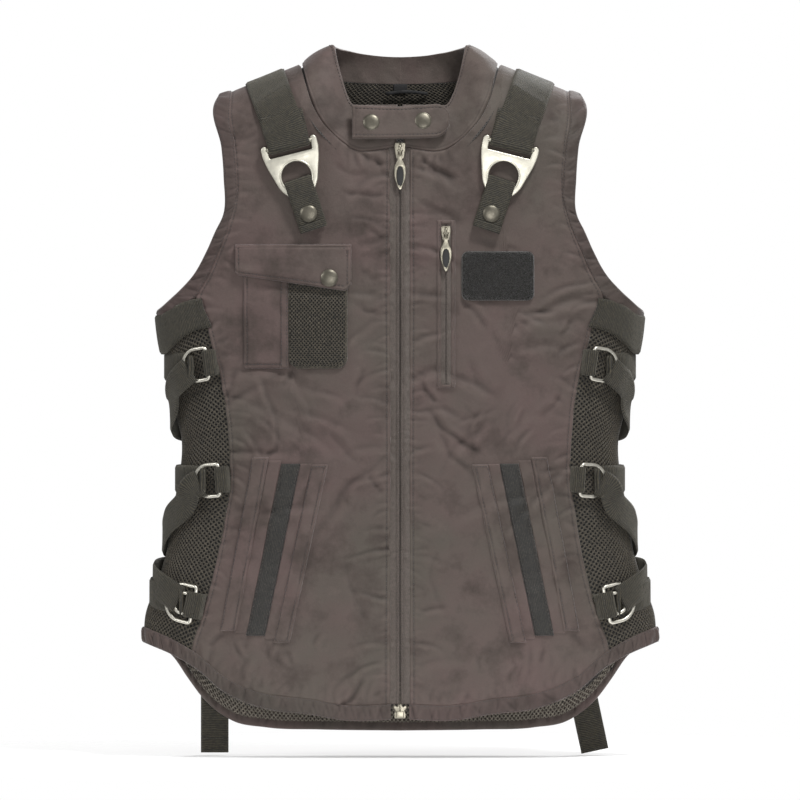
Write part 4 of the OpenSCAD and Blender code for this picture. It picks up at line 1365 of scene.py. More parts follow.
def build_flap():
    flap = pad("flap_cloth", flap_f, (33, 104), 1.5, 0.6, 3.3, SHELL, 2.0,
               (("u", 3.6, 0.45), ("v", 3.6, 0.4), ("v", 100.4, 0.4)), puff(0.9, 0.7, 0.35, 21, (6, 16)))
    rides(flap, "pocket_flap", "shell_nylon", "pocket_flap")
    rows = Thread()
    t = np.linspace(0.05, 0.95, 140)
    rows.along(flap_f, 0.11, t, 3.3)
    t = np.linspace(0.11, 0.98, 60)
    rows.along(flap_f, t, 0.035, 3.2)
    rows.along(flap_f, t, 0.965, 3.2)
    rides(rows.make("flap_stitches", THREAD), "pocket_flap", "shell_nylon")
    seam = flat_f(-147.5, -43.5, 450.5, 458.5)
    hinge = pad("flap_seam", seam, (8, 104), 1.4, 0.3, 5.0, SHELL, 2.4, (),
                puff(0.5, 0.6, 0.35, 12, (20, 50)))
    rides(hinge, "vest", "shell_nylon")
    t = np.linspace(0.02, 0.98, 140)
    stitch_vest.along(seam, 0.52, t, 5.3)
    cap = bm_object("flap_snap_cap", cap_mesh(SNAP_R, 0), on_front(-63, 428, 6.6), GUNMETAL)
    rides(cap, "pocket_flap", "snap_metal", "flap_snap")


def build_zip_pocket():
    """The upright zip pocket: four welts round a recessed tape, with a tiny coil."""
    frame_w, x0, x1, z0, z1 = 4.2, 33.0, 49.4, 329.5, 480.0
    for k, (a, b, c, d) in enumerate(((x0, x0 + frame_w, z0, z1), (x1 - frame_w, x1, z0, z1),
                                      (x0 + frame_w - 0.6, x1 - frame_w + 0.6, z0, z0 + 3.6),
                                      (x0 + frame_w - 0.6, x1 - frame_w + 0.6, z1 - 4.2, z1))):
        f = flat_f(a, b, c, d)
        welt = pad("zip_welt_%d" % k, f, (d - c, b - a), 1.1, -0.4, 1.9, SHELL, 1.6, (),
                   puff(0.3, 0.6, 0.18, 30 + k, (30, 80)))
        rides(welt, "vest", "shell_nylon")
    t = np.linspace(0.01, 0.99, 120)
    for v in (0.13, 0.87):
        stitch_vest.along(flat_f(x0, x1, z0, z1), t, v, 1.9)

    def bead(u, v):
        return 0.45 * np.exp(-((v * 4.7 - 1.3) / 0.8) ** 2)

    for s in (-1, 1):
        f = flat_f(41.2 + s * 0.2, 41.2 + s * 4.9, z0 + 2, z1 - 3)
        tape = pad("chest_tape_" + ("a" if s < 0 else "b"), f, (144, 4.7), 1.0, 0.0, 1.0, TAPE, 0.8,
                   (), bead)
        rides(tape, "vest", "zip_tape", *(["chest_zip_tape"] if s > 0 else []))
    teeth, ends = Thread(), np.array([39.4, 43.0])
    for at in np.arange(333, 462, 1.5):
        teeth.row(front(ends, at, 1.25), body_normal(ends, -z_to_q(ends, at)), 3.3, 3.1, 0.34)
    rides(teeth.make("chest_coil", TAPE), "vest", "zip_tape")


def build_patch():
    f = flat_f(55.0, 120.0, 408.0, 452.0, corner=6.0, top=True)
    patch = pad("pile_patch", f, (44, 65), 1.0, 0.3, 3.2, PILE, 1.8, (("u", 2.4, 0.7), ("u", 41.6, 0.7),
                ("v", 2.4, 0.7), ("v", 62.6, 0.7)), puff(0.2, 0.6, 0.15, 77, (50, 120)))
    rides(patch, "vest", "loop_pile", "loop_patch")
    # a fuzz of small loops standing on the patch
    r = np.random.default_rng(5)
    count = 9000
    u, v = r.uniform(0.03, 0.97, count), r.uniform(0.03, 0.97, count)
    base = f(u, v, np.full(count, 3.0))
    n = unit(f(u, v, np.full(count, 4.0)) - base)
    verts, faces = [], []
    lean = r.normal(0, 0.55, (count, 3))
    for k in range(count):
        d = unit(n[k] + lean[k])
        w = unit(np.cross(d, r.normal(0, 1, 3)))
        h, half = r.uniform(0.9, 1.7), r.uniform(0.3, 0.55)
        m = len(verts)
        e = 0.16 * np.cross(w, d)
        mid = base[k] + d * h * 0.62
        top = base[k] + d * h
        for p in (base[k] - w * half * 0.4, mid - w * half, top, mid + w * half, base[k] + w * half * 0.4):
            verts += [p - e, p + e]
        for q in range(4):
            faces.append((m + 2 * q, m + 2 * q + 2, m + 2 * q + 3, m + 2 * q + 1))
    fuzz = new_object("pile_fuzz", np.array(verts), faces, PILE)
    rides(fuzz, "vest", "loop_pile")


def slant_f(s, top, low, w):
    def f(u, v, o):
        x = between(low[0], top[0], u) + between(-w / 2, w / 2, v)
        return front(s * x, between(low[1], top[1], u) + 0 * v, o)
    return f


def build_hand_pockets():
    for s in (LEFT, RIGHT):
        name = side_name(s)
        for k, (top, low, w) in enumerate((((124.5, 268), (153.5, 112), 14.5),
                                           ((71.5, 261.5), (106, 101.5), 14.5))):
            f = slant_f(s, top, low, w)
            welt = pad("welt_%s_%d" % (name, k), f, (160, w), 1.5, 0.0, 2.5, SHELL, 1.8,
                       (("v", 3.0, 0.4),), puff(0.9, 0.8, 0.45, 50 + 2 * k + s, (14, 44)))
            rides(welt, "vest", "shell_nylon", *(["hand_pocket_" + name] if k else []))
            t = np.linspace(0.015, 0.985, 120)
            for v in (0.2, 0.93):
                stitch_vest.along(f, t, v, 2.75)
            t = np.linspace(0.04, 0.96, 20)
            for u in (0.012, 0.988):
                stitch_vest.along(f, u, t, 2.7, 2.6, 2.0)
        f = slant_f(s, (97.5, 262), (129.5, 108), 17.0)
        gusset = pad("gusset_" + name, f, (155, 17), 1.3, 0.0, 2.2, ELASTIC, 1.2,
                     (("v", 1.6, 0.4), ("v", 15.4, 0.4)), puff(0.5, 0.7, 0.3, 90 + s, (40, 95)))
        rides(gusset, "vest", "ribbed_elastic", "pocket_gusset_" + name)
        t = np.linspace(0.01, 0.99, 120)
        for v in (0.09, 0.91):
            stitch_vest.along(f, t, v, 2.15)
        # flat cloth between gusset and welts, with its lower edge turned under
        for k, (top, low, w) in enumerate((((111.6, 265), (142.6, 110), 11.5),
                                           ((83.9, 262), (116.5, 104.5), 10.5))):
            f = slant_f(s, top, low, w)
            flat = pad("pocket_flat_%s_%d" % (name, k), f, (156, w), 1.8, -0.2, 0.9, SHELL, 1.0,
                       (), puff(0.3, 0.7, 0.3, 130 + 3 * k + s, (20, 50)))
            rides(flat, "vest", "shell_nylon")


# ---------------------------------------------------------------- collar
def collar_base(th):
    x = NECK_HALF * np.sin(np.radians(th))
    zf = np.minimum(neck_z(x), ridge_z(x) - 0.01)
    zb = SHOULDER_Z - NECK_DROP * np.sqrt(np.maximum(0, 1 - np.sin(np.radians(th)) ** 2))
    q = np.where(th < 90, -z_to_q(x, zf), z_to_q(x, zb))
    p = surf(x, q, -1.2, 0.25 * smooth((90 - th) / 60))
    return p + np.array([0, 0, 1.2])


def collar_top(th):
    t = np.radians(th)
    z = 584 + 55 * smooth((th - 40) / 38) - 10 * smooth((th - 90) / 90)
    y = -np.where(th < 90, 50, 38) * np.cos(t)
    return np.stack([61 * np.sin(t), y, z], -1)


def collar(s, th, v, o):
    th, v, o = same_shape(th, v, o)
    th = np.clip(th, 0.4, 180.4)
    a, b = collar_base(th), collar_top(th)
    da = collar_base(np.minimum(179.9, th + 1)) - collar_base(np.minimum(178.9, th - 1))
    db = collar_top(np.minimum(179.9, th + 1)) - collar_top(np.minimum(178.9, th - 1))
    n = unit(np.cross(b - a, da * 0.5 + db * 0.5))
    out = np.stack([np.sin(np.radians(th)), -np.cos(np.radians(th)), 0 * th], -1)
    n = n * np.sign((n * out).sum(-1, keepdims=True))
    bow = 1.6 * np.sin(np.pi * np.clip(v, 0, 1))
    wrinkle = 0.7 * np.sin(th / 2.3 + 5 * v + s) * np.exp(-((v - 0.1) / 0.3) ** 2) \
        + 0.5 * np.sin(th / 4.1 + 1.2 * s + 2 * v)
    return (a + (b - a) * v[..., None] + (o + bow + wrinkle * 0.6)[..., None] * n) * mirror(s)


def collar_part(s, th, v, inside):
    """A stretch of the collar as f(u, v, o); with inside, so far within it and facing inwards."""
    def f(a, b, o):
        return collar(s, between(*th, a), between(*v, b), -o - inside if inside else o)
    return f


def build_collar():
    for s in (LEFT, RIGHT):
        name = side_name(s)
        f = collar_part(s, (2.0, 180.6), (-0.03, 1.0), 0.0)
        band = pad("collar_cloth_" + name, f, (250, 46), 2.0, -3.6, 0.0, SHELL, 2.2,
                   (("v", 41.8, 0.45), ("v", 3.2, 0.5)), puff(0.5, 0.5, 0.2, 200 + s, (20, 60)))
        folds(band, s, "shell_nylon", "collar_front_" + name)
        if s > 0:
            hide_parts("collar_back", "collar_front_left")
        t = np.linspace(0.01, 0.99, 300)
        rows = Thread()
        rows.along(f, t, 41.8 / 46, 0.2)
        folds(rows.make("collar_stitches_" + name, THREAD), s, "shell_nylon")
        f = collar_part(s, (96, 180.5), (-0.9, -0.04), 4.3)
        net = mesh_lattice("collar_net_" + name, f, (112, 24), (3.6, 3.2), MESH)
        rides(net, "vest", "spacer_mesh")
        f = collar_part(s, (96, 180.6), (-0.95, -0.02), 4.0)
        back = pad("collar_net_backing_" + name, f, (112, 24), 5.0, -1.0, -0.2, MESH_BACK, 0.8)
        rides(back, "vest", "spacer_mesh")
        f = collar_part(s, (14, 100), (-0.25, 0.5), 4.0)
        lining = pad("collar_lining_" + name, f, (130, 26), 4.0, -0.6, 0.0, LINING, 0.8)
        folds(lining, s, "spacer_mesh")


def tab_place(lift=0.0):
    lean = math.radians(11)
    z = np.array([0, -math.cos(lean), math.sin(lean)])
    y = np.array([0, math.sin(lean), math.cos(lean)])
    return Place(np.array([0, -58.2, 567.0]) + lift * z, (1, 0, 0), y, z)


def collar_tab_f(u, v, o):
    # v runs along the tab, u across; the far end is rounded
    x = between(-43.0, 44.5, v)
    end = np.clip((x - 29.5) / 15.0, 0, 1)
    half = 15.2 * np.sqrt(np.maximum(0.0, 1 - end ** 2.4)) * (1 - 0.03 * np.cos(x / 14.0))
    y = (2 * u - 1) * half - 1.6 * np.cos(x / 26.0) + 1.2 + 0.02 * x
    z = o + 1.8 + 0.35 * np.sin(x / 5.3) * np.sin(np.pi * u)
    return tab_place()(stack(x, y, z))


def build_collar_tab():
    tab = pad("tab_cloth", collar_tab_f, (30, 87), 1.3, 0.0, 3.0, SHELL, 2.4,
              (("u", 3.2, 0.45), ("u", 26.8, 0.45), ("v", 3.0, 0.4)), puff(0.9, 0.6, 0.2, 33, (8, 18)))
    rides(tab, "collar_tab", "shell_nylon", "collar_tab")
    rows = Thread()
    t = np.linspace(0.03, 0.93, 140)
    for u in (3.2 / 30, 26.8 / 30):
        rows.along(collar_tab_f, u, t, 3.1)
    rides(rows.make("tab_stitches", THREAD), "collar_tab", "shell_nylon")
    caps = [(cap_mesh(SNAP_R, 4.6), at) for at in ((-25.5, -0.6, 0), (20.4, 0.8, 0))]
    rides(bm_object("tab_snap_caps", join_bm(caps), tab_place(), GUNMETAL), "collar_tab", "snap_metal",
          "collar_tab_snaps")


def build_neck_inside():
    def label_f(u, v, o):
        return stack(between(-6.0, 6.5, v), 34.4 - o - 0.6 * u, between(596.0, 604.5, u))
    label = pad("label_cloth", label_f, (8.5, 12.5), 1.0, 0.0, 0.9, LABEL, 0.6,
                (("u", 1.0, 0.25), ("u", 7.5, 0.25)))
    rides(label, "vest", "label_tape", "neck_label")
    t = np.linspace(-1, 1, 90)
    path = np.stack([6 + 19 * t, 33.0 - 3.0 * (1 - t ** 2) ** 0.7 + 0.4 * np.sin(9 * t),
                     596.5 + 0.9 * np.cos(2.6 * t)], 1)
    across = np.broadcast_to(np.array([0.0, 0, 1]), path.shape)
    n = np.broadcast_to(np.array([0.0, -1, 0]), path.shape)
    loop = strip("hanger_tape", path, across, n, 3.0, 1.2, LABEL, 7)
    rides(loop, "vest", "label_tape", "hanger_loop")


# ---------------------------------------------------------------- shoulder straps and buckles
BAR_UP, SNAP_DOWN, TAB_END = 28.6, 35.0, 50.0
TURN = math.radians(4)      # the cast plate sits a little less tilted than its straps


def strap_path():
    """Stations of the shoulder strap: from behind the bar, round it, and over the shoulder."""
    place = buckle_place(LEFT)
    c, a, n = [], [], []
    ax, ay = math.cos(TURN), math.sin(TURN)
    across = place.direction(np.array([ax, ay, 0.0]))
    up = np.array([-ay, ax, 0.0])
    bar = BAR_UP * up

    def put(y, z, ny, nz):
        c.append(place(bar + y * up + np.array([0, 0, z])))
        a.append(across)
        n.append(place.direction(ny * up + np.array([0, 0, nz])))
    for y, z in ((30, -4.4), (22, -4.2), (14, -3.9), (7, -3.4)):
        put(y, z, 0, -1)
    for t in np.linspace(-90, 90, 15):
        r = math.radians(t)
        put(-2.7 * math.cos(r), 2.7 * math.sin(r), -math.cos(r), math.sin(r))
    put(5, 3.0, 0, 1)
    # over the cloth
    slope = math.tan(STRAP_LEAN)
    bar_x, bar_z = 92 + 28 * math.sin(STRAP_LEAN), 519 + 28 * math.cos(STRAP_LEAN)
    ridge_x = bar_x + slope * (ridge_z(120) - bar_z)
    q = np.linspace(-z_to_q(bar_x, bar_z) + 8, 195, 150)
    x = ridge_x - slope * (ridge_z(ridge_x) - q_to_z(ridge_x, q)) * np.where(q < 0, 1, 0.7)
    gone = travel(body(x, q))
    lift = 2.4 + 5.6 * (1 - smooth((gone + 6) / 34)) - 1.6 * smooth((gone - 40) / 12)
    p = surf(x, q, lift, 0.8)
    lean = math.cos(STRAP_LEAN)
    tilt = math.sin(STRAP_LEAN) * np.where(q < 0, -0.95, 0.6)
    w = unit(body(x + 0.5 * lean, q + 0.5 * tilt) - body(x - 0.5 * lean, q - 0.5 * tilt))
    nn = body_normal(x, q)
    w = unit(w - (w * nn).sum(-1, keepdims=True) * nn)
    c = np.concatenate([c, p])
    a = np.concatenate([a, unit(between(across, w, smooth(gone / 22)[:, None]))])
    n = unit(np.concatenate([n, nn]))
    n = unit(n - (n * a).sum(-1, keepdims=True) * a)
    return c, a, n


def smooth_rows(p, times=2):
    for _ in range(times):
        p[1:-1] = (p[:-2] + 2 * p[1:-1] + p[2:]) / 4
    return p


def build_straps():
    c, a, n = strap_path()
    tail = len(c) - 150
    c[tail - 4:] = smooth_rows(c[tail - 4:].copy(), 3)
    for s in (LEFT, RIGHT):
        flip = mirror(s)
        strap = strip("strap_webbing_" + side_name(s), c * flip, a * flip, n * flip, STRAP_W, WEB_T,
                      WEBBING, 17)
        rides(strap, "vest", "webbing", "shoulder_strap_" + side_name(s))
        # box of stitches that holds the folded end, and the end at the back
        rows = Thread()
        for k0, k1 in ((tail + 12, tail + 24), (len(c) - 12, len(c) - 2)):
            for w in (-16.5, 16.5):
                rows.row((c + a * w + n * (WEB_T + 0.1))[k0:k1] * flip, n[k0:k1] * flip, 3.0, 2.2, 0.36)
            for k in (k0, k1 - 1):
                w = np.linspace(-16.5, 16.5, 12)[:, None]
                line = (c[k] + a[k] * w + n[k] * (WEB_T + 0.1)) * flip
                rows.row(line, np.broadcast_to(n[k] * flip, line.shape), 3.0, 2.2, 0.36)
        rides(rows.make("strap_stitches_" + side_name(s), WEB_THREAD), "vest", "webbing")


def buckle_mesh():
    half = [(-6.5, -19.4), (-13.2, -14.6), (-17.6, -8.0), (-20.2, 1.0), (-24.0, 13.0), (-25.9, 23.5),
            (-25.6, 31.0), (-22.4, 33.0), (-19.9, 31.4), (-19.6, 20.6)]
    outer = rounded_loop(half + [(-x, y) for x, y in half[::-1]],
                         [5, 6, 8, 8, 8, 8, 2, 2, 1, 1.2, 1.2, 1, 2, 2, 8, 8, 8, 8, 6, 5])
    turn = np.array([[math.cos(TURN), math.sin(TURN)], [-math.sin(TURN), math.cos(TURN)]])
    bar = np.array([(-21.5, BAR_UP), (21.5, BAR_UP)]) @ turn
    rim = [(14.35 * math.cos(t), 14.35 * math.sin(t), 1.25)
           for t in np.linspace(0, 2 * math.pi, 72, endpoint=False)]
    return join_bm([(plate_mesh(outer @ turn, [circle(13.6, steps=72)], 3.3, 1.0), (0, 0, 0)),
                    (tube_mesh([(*bar[0], 0), (*bar[1], 0)], 2.0, steps=20), (0, 0, 0)),
                    (tube_mesh(rim, 0.95, True, 10), (0, 0, 0))])


def tab_path():
    """The webbing tab in the buckle's frame, (y, z) of its underside, from front to back."""
    return resample([(-TAB_END, 0.6), (-38, 0.7), (-28, 1.7), (-21, 2.5), (-14, 2.9), (-8, 3.0),
                     (-4.6, 2.3), (-3.2, 0.8), (-3.4, -1.0), (-5.2, -2.2), (-9, -2.9), (-16, -3.1),
                     (-28, -2.9), (-TAB_END + 1, -2.5)], 0.9)


def build_buckles():
    for s in (LEFT, RIGHT):
        name, place = side_name(s), buckle_place(s)
        obj = bm_object("cast_buckle_" + name, buckle_mesh(), place, CAST)
        rides(obj, "buckle_" + name, "cast_buckle", "buckle_" + name)
        yz = smooth_rows(tab_path(), 4)
        d = unit(np.gradient(yz, axis=0))
        nrm = np.stack([-d[:, 1], d[:, 0]], 1)
        centre = place(stack(0.0, yz[:, 0], yz[:, 1]))
        normal = place.direction(stack(0.0, nrm[:, 0], nrm[:, 1]))
        across = np.broadcast_to(place.direction(np.array([1.0, 0, 0])), centre.shape)
        if nrm[2, 1] < 0:
            normal = -normal
        tab = strip("tab_webbing_" + name, centre, across, normal, LACE_W, WEB_T, WEBBING, 13)
        rides(tab, "buckle_" + name, "webbing", "buckle_tab_" + name)
        t = np.linspace(-TAB_END - 0.4, -TAB_END + 6.2, 12)
        end = place(stack(0.0, t, 2.35))
        up = np.broadcast_to(place.direction(np.array([0.0, 0, 1])), end.shape)
        hem = strip("tab_end_" + name, end, across[:12], up, LACE_W - 0.2, 1.5, WEBBING, 13)
        rides(hem, "buckle_" + name, "webbing")
        rows = Thread()
        for y, z in ((-TAB_END + 4.8, 3.85), (-TAB_END + 0.9, 3.8)):
            line = place(stack(np.linspace(-11, 11, 14), y, z))
            rows.row(line, np.broadcast_to(up[0], line.shape), 2.8, 2.1, 0.36)
        rides(rows.make("tab_end_stitches_" + name, WEB_THREAD), "buckle_" + name, "webbing")
        cap = bm_object("tab_snap_cap_" + name, cap_mesh(SNAP_R, 2.4), place.moved(0, -SNAP_DOWN, 0),
                        GUNMETAL)
        rides(cap, "buckle_" + name, "snap_metal", "tab_snap_" + name)


# ---------------------------------------------------------------- rings and lacing
RINGS = [(171.0, 352.0, -8.0), (160.5, 247.5, -4.0), (184.0, 135.0, 12.0)]
RING_H, RING_LEG, WIRE, LOOSE_X = 28.5, 11.0, 1.75, 4.4
RING_SWING = 12.0           # the rings lean this far back, to lie on the curved side


def leaning_ring(s, ring, dx=0.0):
    """The ring's own frame: its bar's frame, moved and swung back about the bar."""
    place = ring_place(s, *ring).moved(dx)
    a = math.radians(RING_SWING)
    return Place(place.origin, place.x * math.cos(a) - place.z * math.sin(a), place.y,
                 place.z * math.cos(a) + place.x * math.sin(a), s < 0)


def lace(name, s, end, knots, *nodes):
    """Lacing webbing over the side, through knots of (angle, height, offset)."""
    k = np.array(knots, float)
    d = travel(side(1, k[:, 0], k[:, 1], 0))
    at = np.linspace(0, d[-1], max(12, int(d[-1] / 2.0)))
    path = np.stack([outline(list(zip(d, k[:, i])))(at) for i in range(3)], 1)
    c = side(1, path[:, 0], path[:, 1], path[:, 2])
    n = unit(side(1, path[:, 0], path[:, 1], path[:, 2] + 1) - c)
    n = unit(smooth_rows(n.copy(), 3))
    t = unit(np.gradient(c, axis=0))
    a = unit(np.cross(n, t))
    flip = mirror(s)
    strap = strip(name + "_" + side_name(s) + end, c * flip, a * flip, n * flip, LACE_W, WEB_T, WEBBING, 11)
    rides(strap, "vest", "webbing", *nodes)


def angle_at(x, z):
    return -float(side_t(x, z))


def fold_piece(name, s, x, z, o0, o1, width, lean=0.0):
    """The turned edge of a lacing strip: half a tube between two offsets, at one place."""
    t = angle_at(x, z)
    base = side(1, t, z, 0.0)
    n = unit(side(1, t, z, 1.0) - base)
    fwd = unit(np.array([n[1], -n[0], 0.0]))
    fwd = fwd if fwd[0] < 0 else -fwd
    up = unit(np.array([0, 0, 1.0]) + lean * fwd)
    r, mid = (o1 - o0) / 2, (o1 + o0) / 2
    a = np.radians(np.linspace(-90, 90, 13))
    c = base + n * (mid + r * np.sin(a))[:, None] + fwd * (r * 0.8 * np.cos(a))[:, None]
    nn = unit(n * np.sin(a)[:, None] + fwd * np.cos(a)[:, None])
    flip = mirror(s)
    return strip(name, c * flip, np.broadcast_to(up, c.shape) * flip, nn * flip, width, WEB_T, WEBBING, 9)


def build_lacing():
    for s in (LEFT, RIGHT):
        name = side_name(s)
        for k, ((x, _, _), mid, low) in enumerate(zip(RINGS[:2], (349.0, 248.0), (296.0, 190.0))):
            fold_x = x + 15.5
            at_fold = angle_at(fold_x, mid)
            lace("lace_level", s, "_%d" % k, [(at_fold, mid - 1, 0.6), (angle_at(fold_x + 10, mid), mid, 0.6),
                                              (-6, mid, 0.6), (36, mid + 2, 0.6)])
            lace("lace_slant", s, "_%d" % k, [
                (at_fold, mid - 3, 5.6), (angle_at(fold_x + 6, mid), mid - 8, 7.4),
                (angle_at(fold_x + 13, mid - 20), mid - 22, 5.8), (-12, (mid + low) / 2 - 8, 3.4),
                (0, low + 6, 3.0), (40, low - 6, 2.8)], *([] if k else ["lacing_" + name]))
            rides(fold_piece("lace_fold_%s_%d" % (name, k), s, fold_x, mid - 2, 1.5, 6.4, LACE_W - 1.5),
                  "vest", "webbing")
        # the low band, doubled towards the side, and its fold through the double ring
        x, z = 196.0, 138.0
        outer = angle_at(x + 12, z)
        lace("lace_low_a", s, "", [(angle_at(x, z), z, 0.6), (outer, z + 3, 0.6), (-5, z + 8, 0.6),
                                   (38, z + 10, 0.6)])
        lace("lace_low_b", s, "", [(angle_at(x + 1, z), z + 2, 4.6), (outer, z + 8, 3.6),
                                   (-5, z + 21, 2.8), (38, z + 30, 2.8)])
        rides(fold_piece("lace_low_fold_" + name, s, x - 0.5, z, 1.5, 5.6, LACE_W - 2), "vest", "webbing")
        # the wide strap under the armhole
        v = np.linspace(-1, 1, 80)[:, None]
        u = np.linspace(0, 1, 17)[None, :]
        k = 1 - np.abs(v)
        z = between(384 - 24 * smooth(k * 1.25), 410 - 15 * smooth(k * 1.3), u)
        t = v * (side_t(seam_x(z), z) + 1.5)
        rise = WEB_T * (0.4 + 0.6 * crown(np.minimum(u, 1 - u) * 30, 1.2)) + 0.5 + 0 * v
        top = side(s, t, z, rise)
        strap = sheet("side_strap_webbing_" + name, top, side(s, t, z, 0.3 + 0 * z), WEBBING)
        rides(strap, "vest", "webbing", "side_strap_" + name)
        # stitches near its front end
        rows = Thread()
        for m in (2, 77):
            line = side(s, t[m], z[m], WEB_T + 0.75)
            rows.row(line, side(s, t[m], z[m], 3.0) - side(s, t[m], z[m], 2.0), 3.0, 2.3, 0.36)
        rides(rows.make("side_strap_stitches_" + name, WEB_THREAD), "vest", "webbing")


def ring_tab_path(reach):
    pts = [(-8.0, -6.6), (-6.0, -5.2), (-3.0, -2.9)]
    pts += [(reach + 2.6 * math.sin(t), -2.6 * math.cos(t)) for t in np.radians(np.linspace(0, 180, 13))]
    pts += [(-2.5, 2.2), (-4.4, 1.2), (-5.8, -0.8), (-6.8, -3.4), (-7.6, -5.6)]
    return resample(pts, 0.8)


def build_ring_tabs():
    for s in (LEFT, RIGHT):
        name = side_name(s)
        for k, ring in enumerate(RINGS):
            place = ring_place(s, *ring)
            xz = smooth_rows(ring_tab_path(LOOSE_X if k == 2 else 0.0), 3)
            d = unit(np.gradient(xz, axis=0))
            nrm = np.stack([d[:, 1], -d[:, 0]], 1)
            zero = np.zeros(len(xz))
            centre = place(np.stack([xz[:, 0], zero, xz[:, 1]], 1))
            normal = place.direction(np.stack([nrm[:, 0], zero, nrm[:, 1]], 1))
            across = np.broadcast_to(place.direction(np.array([0.0, 1, 0])), centre.shape)
            tab = strip("ring_tab_%s_%d" % (name, k), centre, across, normal, LACE_W - 1.5, 1.5, WEBBING, 13)
            rides(tab, "vest", "webbing", *(["ring_tabs_" + name] if k == 0 else []))
            rows = Thread()
            y = np.linspace(-10, 10, 14)
            rows.row(place(np.stack([0 * y - 2.8, y, 0 * y + 3.75], 1)),
                     place.direction(np.stack([0 * y, 0 * y, 1 + 0 * y], 1)), 2.8, 2.1, 0.36)
            rides(rows.make("ring_tab_stitches_%s_%d" % (name, k), WEB_THREAD), "vest", "webbing")


def ring_wire(h, leg):
    r = 3.0
    flat = h / 2 - r
    pts = [(0, -flat, 0), (0, 0, 0), (0, flat, 0)]
    pts += [(r - r * math.cos(t), flat + r * math.sin(t), 0) for t in np.radians(np.linspace(12, 90, 7))]
    pts += [(leg + h / 2 * math.sin(t), h / 2 * math.cos(t), 0) for t in np.radians(np.linspace(0, 180, 31))]
    pts += [(r - r * math.cos(t), -flat - r * math.sin(t), 0) for t in np.radians(np.linspace(90, 12, 7))]
    return tube_mesh(pts, WIRE, True, 16)


def build_rings():
    for s in (LEFT, RIGHT):
        name = side_name(s)
        for k, ring in enumerate(RINGS):
            height = RING_H + (4.5 if k == 2 else 0)
            obj = bm_object("wire_ring_%s_%d" % (name, k), ring_wire(height, RING_LEG),
                            leaning_ring(s, ring), NICKEL)
            rides(obj, "vest", "ring_wire", *(["laced_rings_" + name] if k == 0 else []))
        obj = bm_object("wire_loose_ring_" + name, ring_wire(18.2, 6.0), leaning_ring(s, RINGS[2], LOOSE_X),
                        NICKEL)
        rides(obj, "loose_ring_" + name, "ring_wire", "loose_ring_" + name)


def build_tails():
    for s, x0, tilt in ((RIGHT, -167.5, 0.0), (LEFT, 163.0, -12.0)):
        y = float(full_d(abs(x0), 64)) + 3.0
        a = math.radians(tilt)
        down = np.array([math.sin(-a), 0, -math.cos(a)])
        t = np.linspace(0, 63.6, 60)
        c = np.array([x0, y + WEB_T, 64.0]) + t[:, None] * down
        c[:, 1] += 0.8 * np.sin(t / 17.0) * (t / 64)
        across = np.broadcast_to(np.array([math.cos(a), 0, math.sin(-a)]), c.shape)
        n = np.broadcast_to(np.array([0.0, -1, 0]), c.shape)
        main = strip("tail_webbing_" + side_name(s), c, across, n, LACE_W, WEB_T, WEBBING, 13)
        rides(main, "tail_" + side_name(s), "webbing", "tail_" + side_name(s))
        back = strip("tail_fold_" + side_name(s), c[46:] + np.array([0, 0.2, 0]), across[46:], -n[46:],
                     LACE_W - 0.4, 1.6, WEBBING, 13)
        rides(back, "tail_" + side_name(s), "webbing")
        rows = Thread()
        for k in (47, 57):
            w = np.linspace(-11, 11, 14)[:, None]
            line = c[k] + across[k] * w + n[k] * (WEB_T + 0.1)
            rows.row(line, np.broadcast_to(n[k], line.shape), 2.8, 2.1, 0.36)
        rides(rows.make("tail_stitches_" + side_name(s), WEB_THREAD), "tail_" + side_name(s), "webbing")


# ---------------------------------------------------------------- build
build_shell()
build_armholes()
build_hems()
build_sides()
build_hem_net()
build_main_zip()
build_sliders()
build_chest_pocket()
build_flap()
build_zip_pocket()
build_patch()
build_hand_pockets()
build_collar()
build_collar_tab()
build_neck_inside()
build_straps()
build_buckles()
build_lacing()
build_ring_tabs()
build_rings()
build_tails()
rides(stitch_vest.make("shell_stitches", THREAD), "vest", "shell_nylon")
for one in (LEFT, RIGHT):
    folds(stitch_front[one].make("zip_stitches_" + side_name(one), THREAD), one, "shell_nylon")

# the studs are the CAD model's own solids
for node in ("snap_studs", "collar_stud"):
    obj = bpy.data.objects.get(node)
    if obj is not None:
        obj.data.materials.clear()
        obj.data.materials.append(GUNMETAL)

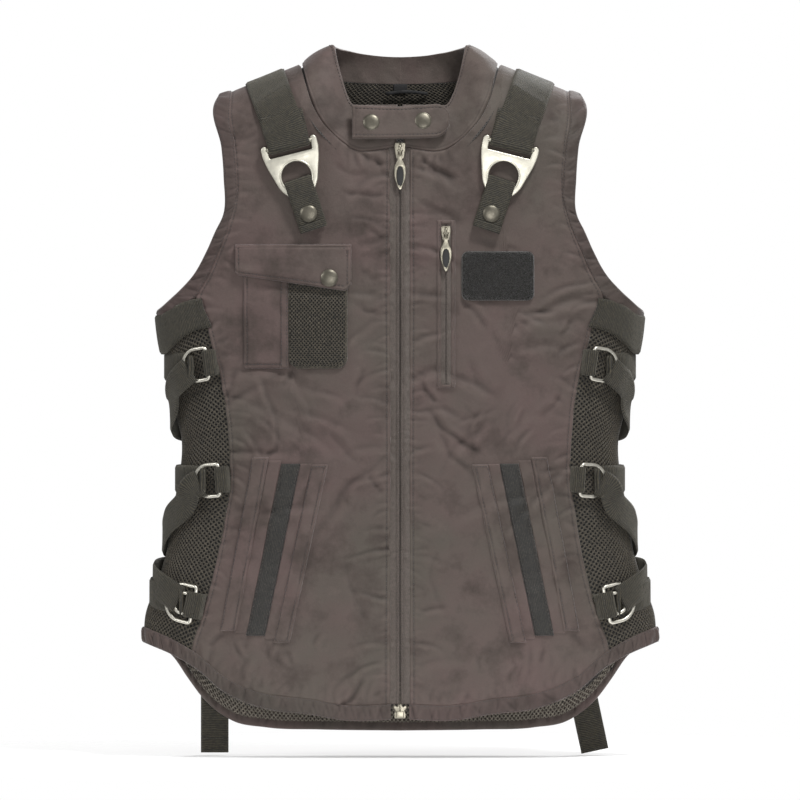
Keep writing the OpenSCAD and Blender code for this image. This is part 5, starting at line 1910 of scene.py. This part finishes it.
# ---------------------------------------------------------------- floor, light and camera
floor_mat = bpy.data.materials.new("studio_floor")
floor_mat.use_nodes = True
tree = floor_mat.node_tree
for label, value in (("Base Color", (0.9, 0.9, 0.9, 1)), ("Roughness", 0.9),
                     ("Emission Color", (1, 1, 1, 1)), ("Emission Strength", 0.35)):
    tree.nodes["Principled BSDF"].inputs[label].default_value = value
centre = tree.nodes.new("ShaderNodeTexCoord")
reach = tree.nodes.new("ShaderNodeVectorMath")
reach.operation = "LENGTH"
fade = tree.nodes.new("ShaderNodeMapRange")            # the floor thins out to nothing
fade.inputs["From Min"].default_value, fade.inputs["From Max"].default_value = 0.28, 0.62
fade.inputs["To Min"].default_value, fade.inputs["To Max"].default_value = 1.0, 0.0
tree.links.new(centre.outputs["Object"], reach.inputs[0])
tree.links.new(reach.outputs["Value"], fade.inputs["Value"])
tree.links.new(fade.outputs[0], tree.nodes["Principled BSDF"].inputs["Alpha"])
mesh = bpy.data.meshes.new("floor")
mesh.from_pydata([(-1, -1, -0.002), (1, -1, -0.002), (1, 1, -0.002), (-1, 1, -0.002)], [], [(0, 1, 2, 3)])
mesh.materials.append(floor_mat)
floor = bpy.data.objects.new("floor", mesh)
bpy.context.collection.objects.link(floor)

world = bpy.data.worlds.new("studio")
world.use_nodes = True
world.node_tree.nodes["Background"].inputs["Color"].default_value = (1, 1, 1, 1)
tree = world.node_tree
rays = tree.nodes.new("ShaderNodeLightPath")
level = tree.nodes.new("ShaderNodeMapRange")       # white to the camera, dimmer as a light
level.inputs["To Min"].default_value, level.inputs["To Max"].default_value = 0.325, 1.0
tree.links.new(rays.outputs["Is Camera Ray"], level.inputs["Value"])
tree.links.new(level.outputs[0], tree.nodes["Background"].inputs["Strength"])
bpy.context.scene.world = world


def area_light(name, at, aim, size, power):
    data = bpy.data.lights.new(name, "AREA")
    data.shape, data.size, data.energy = "DISK", size, power
    obj = bpy.data.objects.new(name, data)
    obj.location = at
    obj.rotation_euler = (Vector(aim) - Vector(at)).to_track_quat("-Z", "Y").to_euler()
    bpy.context.collection.objects.link(obj)


area_light("key", (0.55, -1.0, 2.0), (0, 0, 0.33), 0.4, 25)
area_light("side", (-1.7, -1.0, 1.1), (0, 0, 0.3), 0.6, 8.8)
area_light("fill", (1.7, -1.7, 0.8), (0, 0, 0.3), 1.2, 3.8)
area_light("low", (0.2, -1.9, 0.16), (0, 0, 0.1), 0.7, 9)
area_light("back", (0.9, 1.8, 1.7), (0, 0, 0.35), 1.0, 30)

camera_data = bpy.data.cameras.new("camera")
camera_data.lens, camera_data.sensor_width = 450, 36
camera = bpy.data.objects.new("camera", camera_data)
camera.location = (0.0, -9.0, 0.319)
camera.rotation_euler = (math.radians(90), 0, 0)
bpy.context.collection.objects.link(camera)
bpy.context.scene.camera = camera
bpy.context.scene.view_settings.view_transform = "Standard"
